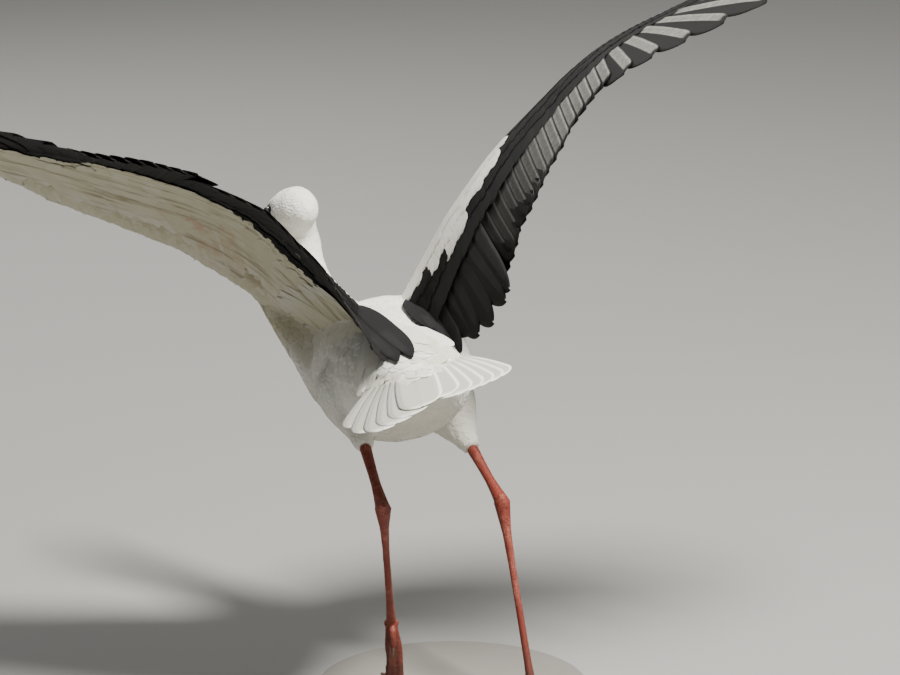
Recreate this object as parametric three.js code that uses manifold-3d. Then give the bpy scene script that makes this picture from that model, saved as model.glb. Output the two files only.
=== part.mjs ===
// White stork standing with both wings raised and spread: a still, life-size model.
// Millimetres, +Z up. The bird faces -Y and its left side is +X. The origin ends up at the
// bottom centre of the bounding box; until the last lines every place is measured from the
// point on the floor under the ball of the right foot.

import * as THREE from 'three';
import { mergeVertices } from 'three/addons/utils/BufferGeometryUtils.js';
import Module from 'manifold-3d';

const wasm = await Module();
wasm.setup();

// ---------------------------------------------------------------- driving dimensions

const GAP = 0.3;                    // clear space kept between neighbouring solids

// Trunk: sections run from the tail root forward to the breast.
const TRUNK_CENTRE = new THREE.Vector3(149, -96, 344);
const TRUNK_YAW = 10;               // degrees to the bird's left
const TRUNK_ROLL = 10;              // degrees, left side down
const TRUNK_SIDES = 18;
const TRUNK_SECTIONS = [
  { along: -194, half: 24, top: 64, bottom: 50 },
  { along: -168, half: 40, top: 70, bottom: 20 },
  { along: -125, half: 55, top: 73, bottom: -18 },
  { along: -75, half: 72, top: 74, bottom: -50 },
  { along: -15, half: 86, top: 76, bottom: -70 },
  { along: 45, half: 91, top: 76, bottom: -76 },
  { along: 95, half: 84, top: 71, bottom: -70 },
  { along: 130, half: 64, top: 46, bottom: -50 },
  { along: 152, half: 30, top: 16, bottom: -22 },
];

// Neck: a double bend that carries the head forward and to the left, from the trunk centre.
const NECK_PATH = [
  [12, -92, 4], [28, -150, -4], [70, -212, 10], [105, -250, 48], [114, -262, 92], [117, -250, 122],
];
const NECK_HALF_WIDTHS = [58, 46, 33, 27, 24, 22.5];
const NECK_HALF_DEPTHS = [58, 48, 35, 28, 25, 24];
const NECK_SIDES = 14;
const NECK_CUTS = [0.42, 0.7];      // where the neck is parted, as shares of its length

// Head: sections run from the nape forward to the root of the bill.
const HEAD_CENTRE = [125, -262, 124];
const HEAD_YAW = 32;                // degrees to the bird's left
const HEAD_PITCH = -27;             // degrees, bill down
const HEAD_SIDES = 14;
const HEAD_SECTIONS = [
  { along: -45, half: 8, top: 6, bottom: -12 },
  { along: -39, half: 16, top: 16, bottom: -21 },
  { along: -26, half: 22.5, top: 25, bottom: -26 },
  { along: -6, half: 26, top: 28, bottom: -27 },
  { along: 14, half: 24.5, top: 26, bottom: -25 },
  { along: 30, half: 19, top: 19, bottom: -22 },
  { along: 42, half: 13.5, top: 12.5, bottom: -19 },
];
const BILL_LENGTH = 168;
const BILL_ROOT_HALF_WIDTH = 12.5;
const BILL_ROOT_TOP = 11.5;
const BILL_ROOT_BOTTOM = 18;
const BILL_GAPE_DROP = 3;           // the gape runs this far below the head's middle
const EYE_RADIUS = 7.2;
const EYE_PLACE = { along: 13, out: 18.6, up: 6 };

// Wing plan, from the shoulder out along the line to the wrist (x) and back (y). Values in
// fours are read at the shoulder, the elbow, the wrist and the hand end.
const ELBOW = 170;
const WRIST = 372;                  // shoulder to wrist, humerus 196 and ulna 224 at 125 degrees
const HAND_END = 532;
const WING_ROOT = -30;
const LEADING_EDGE = [-44, -30, -16, 14];
const COVERT_EDGE = [98, 116, 96, 44];
const COVERT_EDGE_THICKNESS = 3.2;
const ARM_THICKNESS = [54, 29, 17, 8];
const CREST = 92;                   // the highest line of the cambered wing
const CREST_RUN = 112;
const REAR_RUN = 190;
const REAR_CURL = 9;

// Flight feathers: places of the quills out along the wing, and lengths beyond the coverts.
const SECONDARIES = { count: 16, from: 150, to: 370, lean: [-27, -6], length: [172, 146] };
const TERTIALS = { count: 7, from: 8, to: 149.6, lean: [-70, -27] };
const TERTIAL_CLEARANCE = 4;        // height at which the tertials lie over the back
const INNER_PRIMARIES = { count: 5, from: 372, to: 462, angle: [92, 65], length: [146, 262] };
const FINGERS = [
  { at: 466, angle: 58, length: 300, width: 48 },
  { at: 482, angle: 48, length: 336, width: 46 },
  { at: 497, angle: 38, length: 362, width: 44 },
  { at: 511, angle: 28.5, length: 370, width: 42 },
  { at: 523, angle: 20, length: 356, width: 39 },
  { at: 532, angle: 12, length: 312, width: 34 },
];
const FINGER_INSET = 12;            // the long quills start this far under the coverts
const FINGER_OUTLINE = [[0, 0.34], [0.15, 0.5], [0.5, 0.56], [0.64, 0.5], [0.76, 0.37], [0.93, 0.28], [1, 0.07]];
const FEATHER_ROWS = [0, 0.55, 1];
const QUILL_THICKNESS = 3;
const VANE_THICKNESS = 1.3;
const VANE_STEP = 0.8;

// The two wings share that plan; each has its own pose in degrees, and its own droop.
const WING_POSES = {
  left: {
    side: 1, shoulder: [46, -100, 48], raise: 42, elbowBend: -26, handBend: -3, tipBend: 6,
    sweep: 0.5, pitch: [8, 19.5, 20, 14], droop: [42, 54, 48, 30], tertials: [176, 172],
  },
  right: {
    side: -1, shoulder: [9, -100, 54], raise: 64, elbowBend: -20.5, handBend: -19.5, tipBend: 6,
    sweep: -7, pitch: [-17, -10.5, -1.2, 1.5], droop: [42, 50, 36, 12], tertials: [148, 172],
  },
};

// Tail.
const TAIL = {
  root: [-18, 140, 60], yaw: 7, roll: 18, rise: -2, count: 12, spread: 42,
  rootWidth: 50, length: 214, sag: 2,
};

// Legs.
const LEGS = {
  right: {
    side: 1,
    knee: [108, -200, 306], featherEnd: [66, -128, 253], ankle: [34, -57, 214],
    ball: [0, -2, 11], toeYaw: 4, toeSlope: 20, spread: 1,
  },
  left: {
    side: -1,
    knee: [205, -84, 348], featherEnd: [183, 6, 294], ankle: [163, 75, 246],
    ball: [156, -60, 72], toeYaw: 4, toeSlope: 80, spread: 0.5,
  },
};
const THIGH_RADII = [20, 34, 39, 34, 25, 16, 11];
const SHANK_RADII = [6.6, 5.4, 5.2, 8.2];
const TARSUS_RADII = [9.2, 5, 3.9, 3.8, 3.9, 4.2, 6];
const TOES = {
  inner: { turn: 34, length: 58 },
  middle: { turn: 0, length: 78 },
  outer: { turn: -34, length: 64 },
  hind: { turn: 176, length: 27 },
};
const TOE_RADII = [5.6, 4.6, 4.1, 4.5, 3.6, 3.9, 3.1];
const TOE_HEIGHT = 3.4;              // the toes' middle line above the floor
const CLAW_LENGTH = 11;
const CLAW_RADIUS = 2.7;

// Base: a plain round board that keeps the running pose from falling over.
const BASE = { x: 88, y: -66, radius: 150, thickness: 12, edge: 3, sides: 28 };

// ---------------------------------------------------------------- finishes

const finish = (color, roughness) => new THREE.MeshStandardMaterial({ color, roughness, metalness: 0 });
const FINISHES = {
  white: () => finish(0xe9e6da, 0.9),
  black: () => finish(0x1f2123, 0.6),
  tail: () => finish(0xf1efe6, 0.85),
  leg: () => finish(0xc2512f, 0.65),
  bill: () => finish(0xc4371c, 0.45),
  eye: () => finish(0x17120e, 0.1),
  claw: () => finish(0x6d4a38, 0.5),
  board: () => finish(0xd9d6ce, 0.7),
};

// ---------------------------------------------------------------- geometry helpers

const rad = THREE.MathUtils.degToRad;
const mix = THREE.MathUtils.lerp;
const vec = (x, y, z) => new THREE.Vector3(x, y, z);
const FRAME_STEPS = 60;             // how finely a path's turning frame is followed

// Reads a list of evenly spaced values at a share from 0 to 1.
function along(values, share) {
  const place = THREE.MathUtils.clamp(share, 0, 1) * (values.length - 1);
  const index = Math.min(Math.floor(place), values.length - 2);
  return mix(values[index], values[index + 1], place - index);
}

// A closed body from points and triangle corners, turned so that its faces point out.
function closedBody(points, corners) {
  let volume = 0;
  for (let i = 0; i < corners.length; i += 3) {
    const [a, b, c] = [points[corners[i]], points[corners[i + 1]], points[corners[i + 2]]];
    volume += a.dot(b.clone().cross(c));
  }
  const index = volume < 0 ? corners.slice().reverse() : corners;
  const geometry = new THREE.BufferGeometry().setFromPoints(points);
  geometry.setIndex(index);
  return geometry;
}

// Skins a row of rings, each with the same number of points, and caps both ends.
function loft(rings) {
  const sides = rings[0].length;
  const points = rings.flat();
  const corners = [];
  for (let r = 0; r < rings.length - 1; r += 1) {
    for (let k = 0; k < sides; k += 1) {
      const a = r * sides + k;
      const b = r * sides + (k + 1) % sides;
      corners.push(a, b, a + sides, b, b + sides, a + sides);
    }
  }
  for (const [ring, first] of [[rings[0], 0], [rings.at(-1), (rings.length - 1) * sides]]) {
    const middle = ring.reduce((sum, p) => sum.add(p), vec(0, 0, 0)).divideScalar(sides);
    const hub = points.push(middle) - 1;
    for (let k = 0; k < sides; k += 1) {
      const pair = [first + k, first + (k + 1) % sides];
      corners.push(hub, ...(first === 0 ? pair.reverse() : pair));
    }
  }
  return closedBody(points, corners);
}

// A thin plate from columns of paired points, top and bottom, with walls all round.
function plate(columns) {
  const rows = columns[0].length;
  const points = columns.flat().map((pair) => pair.top).concat(columns.flat().map((pair) => pair.bottom));
  const under = columns.length * rows;
  const corners = [];
  const quad = (a, b, c, d) => corners.push(a, b, c, a, c, d);
  for (let c = 0; c < columns.length - 1; c += 1) {
    for (let r = 0; r < rows - 1; r += 1) {
      const a = c * rows + r;
      quad(a, a + rows, a + rows + 1, a + 1);
      quad(under + a, under + a + 1, under + a + rows + 1, under + a + rows);
    }
    const [near, far] = [c * rows, c * rows + rows - 1];
    quad(near, under + near, under + near + rows, near + rows);
    quad(far, far + rows, under + far + rows, under + far);
  }
  for (let r = 0; r < rows - 1; r += 1) {
    const last = (columns.length - 1) * rows + r;
    quad(r, r + 1, under + r + 1, under + r);
    quad(last, under + last, under + last + 1, last + 1);
  }
  return closedBody(points, corners);
}

// An oval ring in the plane of two unit vectors; the top and bottom halves may differ.
function oval(centre, across, upward, half, top, bottom, sides) {
  const ring = [];
  for (let k = 0; k < sides; k += 1) {
    const turn = (k / sides) * Math.PI * 2;
    const height = Math.sin(turn) > 0 ? top : -bottom;
    ring.push(centre.clone()
      .addScaledVector(across, Math.cos(turn) * half)
      .addScaledVector(upward, Math.sin(turn) * height));
  }
  return ring;
}

// Rings square to a path, with half widths and half depths read along it.
function tubeRings(path, widths, depths, sides, from, to, steps) {
  const frames = path.computeFrenetFrames(FRAME_STEPS);
  const rings = [];
  for (let i = 0; i <= steps; i += 1) {
    const share = mix(from, to, i / steps);
    const near = Math.round(share * FRAME_STEPS);
    const [across, upward] = [frames.normals[near], frames.binormals[near]];
    const depth = along(depths, share);
    rings.push(oval(path.getPointAt(share), across, upward, along(widths, share), depth, -depth, sides));
  }
  return rings;
}

const pathThrough = (points) => new THREE.CatmullRomCurve3(points, false, 'centripetal');

// Solid arithmetic on closed geometries.
function toSolid(geometry) {
  const bare = geometry.clone();
  bare.deleteAttribute('normal');
  bare.deleteAttribute('uv');
  const merged = mergeVertices(bare, 1e-4);
  return new wasm.Manifold(new wasm.Mesh({
    numProp: 3,
    vertProperties: Float32Array.from(merged.attributes.position.array),
    triVerts: Uint32Array.from(merged.index.array),
  }));
}

function toGeometry(solid) {
  const mesh = solid.getMesh();
  const geometry = new THREE.BufferGeometry();
  geometry.setAttribute('position', new THREE.BufferAttribute(mesh.vertProperties, 3));
  geometry.setIndex(new THREE.BufferAttribute(mesh.triVerts, 1));
  return geometry;
}

const largest = (solid) => solid.decompose().sort((a, b) => b.volume() - a.volume())[0];
const cut = (geometry, ...tools) => toGeometry(
  largest(tools.reduce((solid, tool) => solid.subtract(toSolid(tool)), toSolid(geometry))));
const join = (...pieces) => toGeometry(pieces.map(toSolid).reduce((sum, piece) => sum.add(piece)));

const stork = new THREE.Group();

function addPart(name, geometry, material) {
  const mesh = new THREE.Mesh(geometry, material);
  mesh.name = name;
  mesh.geometry.computeVertexNormals();
  stork.add(mesh);
}

// ---------------------------------------------------------------- trunk, neck and head

// Turns a forward axis of -Y by yaw to the left, pitch up and roll left side down.
function bodyAxes(yaw, pitch, roll) {
  const forward = vec(Math.sin(rad(yaw)) * Math.cos(rad(pitch)),
    -Math.cos(rad(yaw)) * Math.cos(rad(pitch)), Math.sin(rad(pitch)));
  const level = vec(0, 0, 1).cross(forward).normalize();
  const left = level.clone().applyAxisAngle(forward, rad(-roll));
  return { forward, left, up: forward.clone().cross(left).normalize() };
}

function ovalBody(sections, centre, axes, sides, grow = 0) {
  const rings = sections.map((section) => {
    const middle = (section.top + section.bottom) / 2;
    const height = (section.top - section.bottom) / 2 + grow;
    const point = centre.clone()
      .addScaledVector(axes.forward, section.along + Math.sign(section.along) * grow)
      .addScaledVector(axes.up, middle);
    return oval(point, axes.left, axes.up, section.half + grow, height, -height, sides);
  });
  return loft(rings);
}

const trunkAxes = bodyAxes(TRUNK_YAW, 0, TRUNK_ROLL);
const trunkPoint = (x, y, z) => TRUNK_CENTRE.clone().add(vec(x, y, z));
const trunkBody = (grow = 0) => ovalBody(TRUNK_SECTIONS, TRUNK_CENTRE, trunkAxes, TRUNK_SIDES, grow);

const neckPath = pathThrough(NECK_PATH.map((p) => trunkPoint(...p)));
const neckLength = (from, to, steps, grow = 0) => loft(tubeRings(neckPath,
  NECK_HALF_WIDTHS.map((half) => half + grow), NECK_HALF_DEPTHS.map((half) => half + grow),
  NECK_SIDES, from, to, steps));

const lowerNeck = (grow = 0) => neckLength(0.12, NECK_CUTS[0] - 0.0006, 5, grow);

const headAxes = bodyAxes(HEAD_YAW, HEAD_PITCH, 0);
const headCentre = trunkPoint(...HEAD_CENTRE);
const headPoint = (forward, left, up) => headCentre.clone()
  .addScaledVector(headAxes.forward, forward)
  .addScaledVector(headAxes.left, left)
  .addScaledVector(headAxes.up, up);
const headBody = (grow = 0) => ovalBody(HEAD_SECTIONS, headCentre, headAxes, HEAD_SIDES, grow);

// Half of the bill: from the gape line up or down, with a straight, pointed profile.
function billHalf(upper) {
  const rings = [];
  const root = HEAD_SECTIONS.at(-1).along + GAP;
  for (const share of [0, 0.12, 0.3, 0.55, 0.8, 0.95, 1]) {
    const taper = Math.max(1 - share ** 1.15, 0.035);
    const width = BILL_ROOT_HALF_WIDTH * taper;
    const height = (upper ? BILL_ROOT_TOP + BILL_GAPE_DROP : BILL_ROOT_BOTTOM - BILL_GAPE_DROP) * taper;
    const sign = upper ? 1 : -1;
    const ring = [];
    for (let k = 0; k <= 6; k += 1) {
      const turn = (k / 6) * Math.PI;
      ring.push(headPoint(root + BILL_LENGTH * share, Math.cos(turn) * width,
        -BILL_GAPE_DROP + sign * (GAP / 2 + Math.sin(turn) ** 0.8 * height)));
    }
    rings.push(ring);
  }
  return loft(rings);
}

function eyeball(side, grow = 0) {
  const ball = new THREE.SphereGeometry(EYE_RADIUS + grow, 8, 6);
  const place = headPoint(EYE_PLACE.along, side * EYE_PLACE.out, EYE_PLACE.up);
  return ball.translate(place.x, place.y, place.z);
}

// ---------------------------------------------------------------- wings

// Reads four station values at a distance out along the wing.
function station(values, x) {
  const stops = [0, ELBOW, WRIST, HAND_END];
  const index = x < ELBOW ? 0 : x < WRIST ? 1 : 2;
  const share = (x - stops[index]) / (stops[index + 1] - stops[index]);
  return mix(values[index], values[index + 1], THREE.MathUtils.clamp(share, 0, 1));
}

// Maps the wing's plan (x out, y back, z above the plan) to its place in the pose.
function wingPlacer(pose) {
  const raise = rad(pose.raise);
  const sweep = rad(pose.sweep);
  const out = vec(pose.side * Math.cos(raise) * Math.cos(sweep), Math.sin(sweep),
    Math.sin(raise) * Math.cos(sweep));
  const back = vec(0, 1, 0).addScaledVector(out, -out.y).normalize();
  const above = out.clone().cross(back).multiplyScalar(pose.side);
  const shoulder = trunkPoint(...pose.shoulder);
  const spans = [
    { to: ELBOW - 80, turn: 0 },
    { to: ELBOW + 80, turn: pose.elbowBend },
    { to: WRIST - 60, turn: 0 },
    { to: WRIST + 70, turn: pose.handBend },
    { to: HAND_END + 340, turn: pose.tipBend },
  ];
  return (x, y, z) => {
    let heading = 0;
    let start = 0;
    let [run, climb] = [Math.min(x, 0), 0];
    for (const span of spans) {
      const reach = Math.min(x, span.to) - start;
      if (reach > 0) {
        const turn = rad(span.turn) * reach / (span.to - start);
        const chord = turn === 0 ? reach : reach * Math.sin(turn / 2) / (turn / 2);
        run += chord * Math.cos(heading + turn / 2);
        climb += chord * Math.sin(heading + turn / 2);
        heading += turn;
      }
      start = span.to;
    }
    const lift = above.clone().multiplyScalar(Math.cos(heading)).addScaledVector(out, -Math.sin(heading));
    const pitch = rad(station(pose.pitch, x));
    return shoulder.clone()
      .addScaledVector(out, run)
      .addScaledVector(above, climb)
      .addScaledVector(back, y * Math.cos(pitch) - z * Math.sin(pitch))
      .addScaledVector(lift, y * Math.sin(pitch) + z * Math.cos(pitch));
  };
}

// Height of the wing's middle surface: the front droops to the leading edge.
function camber(pose, x, y) {
  const front = Math.max(0, (CREST - y) / CREST_RUN);
  const rear = Math.max(0, (y - CREST) / REAR_RUN);
  return -station(pose.droop, x) * front ** 1.7 - REAR_CURL * rear ** 2;
}

// The covered front of the wing between two stations, an arched section thick at the bones.
function wingFront(pose, from, to, steps, swell = 0) {
  const place = wingPlacer(pose);
  const shares = [0.06, 0.2, 0.4, 0.6, 0.8, 1];
  const rings = [];
  for (let i = 0; i <= steps; i += 1) {
    const x = mix(from, to, i / steps);
    const front = station(LEADING_EDGE, x);
    const rear = station(COVERT_EDGE, x) + (swell > 0 ? 3 * GAP : 0);
    const depth = station(ARM_THICKNESS, x);
    const side = (share, sign) => {
      const y = mix(front, rear, share);
      const thick = depth * 2.1 * Math.sqrt(share) * (1 - share) + COVERT_EDGE_THICKNESS * share + swell;
      return place(x, y, camber(pose, x, y) + sign * thick / 2);
    };
    rings.push([
      place(x, front, camber(pose, x, front)),
      ...shares.map((share) => side(share, 1)),
      ...shares.slice().reverse().map((share) => side(share, -1)),
    ]);
  }
  return loft(rings);
}

// Lifts a point that would lie in or just over the trunk to a height above its back.
function draped(point, clearance) {
  const offset = point.clone().sub(TRUNK_CENTRE);
  const reach = offset.dot(trunkAxes.forward);
  const sections = TRUNK_SECTIONS;
  const next = sections.findIndex((section) => section.along > reach);
  if (next < 1) {
    return point;
  }
  const [rear, front] = [sections[next - 1], sections[next]];
  const share = (reach - rear.along) / (front.along - rear.along);
  const [half, top, bottom] = ['half', 'top', 'bottom'].map((key) => mix(rear[key], front[key], share));
  const sideways = Math.abs(offset.dot(trunkAxes.left)) / (half + clearance);
  if (sideways >= 1) {
    return point;
  }
  const surface = (top + bottom) / 2 + ((top - bottom) / 2 + clearance) * Math.sqrt(1 - sideways ** 2);
  const lift = Math.max(0, surface - offset.dot(trunkAxes.up));
  return point.clone().addScaledVector(trunkAxes.up, lift);
}

// A row of overlapping feathers as one stepped plate. quill(i) and tip(i) give plan points
// for a feather number that may lie between whole feathers.
function featherRow(pose, count, quill, tip, round, swell = 0) {
  const place = wingPlacer(pose);
  const columns = [];
  for (let i = 0; i < count; i += 1) {
    for (const share of [0, 0.5, 1]) {
      const [qx, qy] = quill(i + share);
      const [tx, ty] = tip(i + share);
      const shorten = share === 0.5 ? 0 : round;
      const reach = 1 - shorten / Math.hypot(tx - qx, ty - qy);
      columns.push(FEATHER_ROWS.map((w) => {
        const x = mix(qx, tx, w * reach);
        const y = mix(qy, ty, w * reach);
        const lift = camber(pose, x, y) + VANE_STEP * (share - 0.5) * (0.6 + 0.4 * w);
        const half = (mix(QUILL_THICKNESS, VANE_THICKNESS, w) + swell) / 2;
        return {
          top: draped(place(x, y, lift + half), TERTIAL_CLEARANCE + half * 2),
          bottom: draped(place(x, y, lift - half), TERTIAL_CLEARANCE),
        };
      }));
    }
  }
  return plate(columns);
}

// The quill and tip functions of a row whose quills stand along the covert edge.
function rowAlongCoverts(row, tipFrom) {
  const quill = (i) => {
    const x = mix(row.from, row.to, i / row.count);
    return [x, station(COVERT_EDGE, x) + GAP];
  };
  return [quill, (i) => tipFrom(quill(i), i / row.count)];
}

function leaningRow(pose, row, round) {
  const functions = rowAlongCoverts(row, ([x, y], share) => [
    x + mix(...row.lean, share), y + mix(...row.length, share)]);
  return featherRow(pose, row.count, ...functions, round);
}

function innerPrimaries(pose, swell = 0) {
  const row = { ...INNER_PRIMARIES, to: INNER_PRIMARIES.to + swell / 3 };
  const functions = rowAlongCoverts(row, ([x, y], share) => {
    const turn = rad(mix(...row.angle, share));
    const reach = mix(...row.length, share ** 1.3);
    return [x + Math.cos(turn) * reach, y + Math.sin(turn) * reach];
  });
  return featherRow(pose, row.count, ...functions, 12, swell);
}

// One long primary: a lens-shaped blade that narrows past its middle, with a round tip.
function finger(pose, feather, layer) {
  const place = wingPlacer(pose);
  const turn = rad(feather.angle);
  const [dx, dy] = [Math.cos(turn), Math.sin(turn)];
  const baseY = station(COVERT_EDGE, feather.at) - FINGER_INSET;
  const rings = FINGER_OUTLINE.map(([share, width]) => {
    const run = feather.length * share;
    const x = feather.at + dx * run;
    const y = baseY + dy * run;
    const z = camber(pose, x, y) - layer * 0.9 * (1 - share);
    const half = feather.width * width;
    const rib = mix(QUILL_THICKNESS, VANE_THICKNESS, share) / 2 + 0.3;
    return [
      place(x - dy * half * 1.2, y + dx * half * 1.2, z),
      place(x, y, z + rib),
      place(x + dy * half * 0.8, y - dx * half * 0.8, z),
      place(x, y, z - rib),
    ];
  });
  return loft(rings);
}

function alula(pose) {
  const place = wingPlacer(pose);
  const outline = [[0, 4], [0.3, 11], [0.7, 9], [0.92, 5], [1, 1.5]];
  return loft(outline.map(([share, half]) => {
    const x = WRIST + 12 + 92 * share;
    const y = station(LEADING_EDGE, x) + 12 - 10 * share;
    const z = camber(pose, x, y) + station(ARM_THICKNESS, x) * 0.42 + 2.4;
    return [place(x, y - half, z - 2), place(x, y, z + 1), place(x, y + half, z), place(x, y, z - 2)];
  }));
}

function addWing(side) {
  const pose = WING_POSES[side];
  const seam = GAP / 2;
  const hand = wingFront(pose, WRIST + seam, HAND_END, 4);
  const fingers = join(...FINGERS.map((feather, layer) => finger(pose, feather, layer)));
  const handRoom = wingFront(pose, WRIST, HAND_END + GAP, 4, 6);
  const arm = wingFront(pose, WING_ROOT, ELBOW - seam, 5);
  const armRoom = wingFront(pose, WING_ROOT, ELBOW - seam, 5, 0.8);
  const tertials = leaningRow(pose, { ...TERTIALS, length: pose.tertials }, 14);
  addPart(`wing_${side}_arm`, cut(arm, trunkBody(GAP), lowerNeck(1)), FINISHES.white());
  addPart(`wing_${side}_forearm`, wingFront(pose, ELBOW + seam, WRIST - seam, 4), FINISHES.white());
  addPart(`wing_${side}_hand`, hand, FINISHES.black());
  addPart(`wing_${side}_tertials`, cut(tertials, trunkBody(GAP), armRoom), FINISHES.black());
  addPart(`wing_${side}_secondaries`, leaningRow(pose, SECONDARIES, 10), FINISHES.black());
  addPart(`wing_${side}_primaries_inner`, innerPrimaries(pose), FINISHES.black());
  addPart(`wing_${side}_primaries_outer`, cut(fingers, handRoom, innerPrimaries(pose, 6)), FINISHES.black());
  addPart(`wing_${side}_alula`, cut(alula(pose), hand), FINISHES.black());
}

// ---------------------------------------------------------------- tail

function tailFan() {
  const axes = bodyAxes(TAIL.yaw, TAIL.rise, TAIL.roll);
  const root = trunkPoint(...TAIL.root);
  const columns = [];
  for (let i = 0; i < TAIL.count; i += 1) {
    for (const share of [0, 0.5, 1]) {
      const across = (i + share) / TAIL.count * 2 - 1;
      const turn = rad(TAIL.spread / 2 * across);
      const outer = Math.abs(across);
      const length = TAIL.length * (1 - 0.1 * outer ** 2) - 9 * (2 * share - 1) ** 2;
      const tilt = (i < TAIL.count / 2 ? 1 : -1) * (share - 0.5) * VANE_STEP;
      columns.push(FEATHER_ROWS.map((w) => {
        const back = length * w;
        const half = mix(QUILL_THICKNESS, VANE_THICKNESS, w) / 2;
        const point = root.clone()
          .addScaledVector(axes.forward, -back * Math.cos(turn))
          .addScaledVector(axes.left, -TAIL.rootWidth / 2 * across - back * Math.sin(turn))
          .addScaledVector(axes.up, tilt - TAIL.sag * outer ** 2 * w);
        return {
          top: point.clone().addScaledVector(axes.up, half),
          bottom: point.clone().addScaledVector(axes.up, -half),
        };
      }));
    }
  }
  return plate(columns);
}

// ---------------------------------------------------------------- legs

const tube = (points, radii, sides, steps, from = 0, to = 1) => loft(
  tubeRings(pathThrough(points), radii, radii, sides, from, to, steps));

// Presses whatever reaches below the floor up to it, as a foot's pads are.
function pressedFlat(geometry) {
  const places = geometry.attributes.position;
  for (let i = 0; i < places.count; i += 1) {
    places.setZ(i, Math.max(places.getZ(i), 0));
  }
  return geometry;
}

// A toe leaves the ball of the foot, comes down to the floor and lies flat along it. The
// hind toe of a raised foot hangs instead.
function toePoints(leg, toe) {
  const ball = vec(...leg.ball);
  const turn = rad(leg.toeYaw + leg.side * toe.turn * (toe.turn > 90 ? 1 : leg.spread));
  const heading = vec(Math.sin(turn), -Math.cos(turn), 0);
  const drop = ball.z - TOE_HEIGHT;
  if (toe.turn > 90 && drop > toe.length) {
    const knuckle = ball.clone().addScaledVector(heading, 9).add(vec(0, 0, -8));
    return [ball, knuckle, knuckle.clone().addScaledVector(heading, 2).add(vec(0, 0, 10 - toe.length))];
  }
  const knuckle = ball.clone().addScaledVector(heading, drop / Math.tan(rad(leg.toeSlope)));
  knuckle.z = TOE_HEIGHT;
  const flat = Math.max(toe.length - ball.distanceTo(knuckle), 12);
  return [ball, knuckle, knuckle.clone().addScaledVector(heading, flat)];
}

function toeTube(leg, toe, grow) {
  const radii = TOE_RADII.map((radius) => radius + grow);
  return pressedFlat(tube(toePoints(leg, toe), radii, 6, 5));
}

function foot(leg, grow = 0) {
  const ball = new THREE.SphereGeometry(6.6 + grow, 8, 6).translate(...leg.ball);
  return join(ball, ...Object.values(TOES).map((toe) => toeTube(leg, toe, grow)));
}

function claw(leg, toe) {
  const points = toePoints(leg, toe);
  const tip = points.at(-1);
  const heading = tip.clone().sub(points.at(-2)).normalize();
  const across = heading.clone().cross(vec(0, 0, 1)).normalize();
  const upward = across.clone().cross(heading).normalize();
  const rings = [[0, 1], [0.4, 0.85], [0.8, 0.5], [1, 0.15]].map(([share, size]) => {
    const middle = tip.clone()
      .addScaledVector(heading, GAP + CLAW_LENGTH * share)
      .addScaledVector(upward, -1.6 * share ** 2);
    const radius = CLAW_RADIUS * size;
    return oval(middle, across, upward, radius * 0.8, radius, -radius, 5);
  });
  return pressedFlat(loft(rings));
}

function addLeg(side) {
  const leg = LEGS[side];
  const [knee, end, ankle, ball] = [leg.knee, leg.featherEnd, leg.ankle, leg.ball].map((p) => vec(...p));
  const hip = knee.clone().lerp(end, -0.22);
  const thigh = tube([hip, end], THIGH_RADII, 12, 6);
  const shank = (grow = 0) => tube([end, ankle], SHANK_RADII.map((radius) => radius + grow), 10, 5);
  addPart(`leg_${side}_thigh`, cut(thigh, trunkBody(GAP), shank(GAP)), FINISHES.white());
  addPart(`leg_${side}_shank`, shank(), FINISHES.leg());
  const tarsus = tube([ankle, ball], TARSUS_RADII, 8, 6);
  addPart(`leg_${side}_tarsus`, cut(tarsus, shank(GAP), foot(leg, GAP)), FINISHES.leg());
  addPart(`leg_${side}_foot`, foot(leg), FINISHES.leg());
  for (const [name, toe] of Object.entries(TOES)) {
    addPart(`leg_${side}_claw_${name}`, claw(leg, toe), FINISHES.claw());
  }
}

// ---------------------------------------------------------------- assembly

addPart('trunk', trunkBody(), FINISHES.white());
addPart('neck_lower', cut(lowerNeck(), trunkBody(GAP)), FINISHES.white());
addPart('neck_middle', neckLength(NECK_CUTS[0] + 0.0006, NECK_CUTS[1] - 0.0006, 3), FINISHES.white());
addPart('neck_upper', cut(neckLength(NECK_CUTS[1] + 0.0006, 1, 3), headBody(GAP)), FINISHES.white());
addPart('head', cut(headBody(), eyeball(1, GAP), eyeball(-1, GAP)), FINISHES.white());
for (const [side, sign] of [['left', 1], ['right', -1]]) {
  addPart(`eye_${side}`, eyeball(sign), FINISHES.eye());
}
addPart('bill_upper', billHalf(true), FINISHES.bill());
addPart('bill_lower', billHalf(false), FINISHES.bill());
addPart('tail_feathers', cut(tailFan(), trunkBody(GAP)), FINISHES.tail());
for (const side of ['left', 'right']) {
  addWing(side);
  addLeg(side);
}

const board = BASE.radius;
const rim = [[0, -BASE.thickness], [board, -BASE.thickness], [board, -BASE.edge - GAP],
  [board - BASE.edge, -GAP], [0, -GAP]];
const base = new THREE.LatheGeometry(rim.map(([x, y]) => new THREE.Vector2(x, y)), BASE.sides);
addPart('stand_base', base.rotateX(Math.PI / 2).translate(BASE.x, BASE.y, 0), FINISHES.board());

const bounds = new THREE.Box3().setFromObject(stork);
const middle = bounds.getCenter(vec(0, 0, 0));
stork.position.set(-middle.x, -middle.y, -bounds.min.z);
stork.updateMatrixWorld(true);

export default stork;
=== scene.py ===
"""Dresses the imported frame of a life-size white stork: skin, feathers, bill, eyes, claws and board.

Shapes are worked out in millimetres from the point on the floor under the ball of the right
foot, with the bird facing -Y and its left side at +X, and are then put in the frame's metres.
"""

import math
from functools import partial

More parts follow.
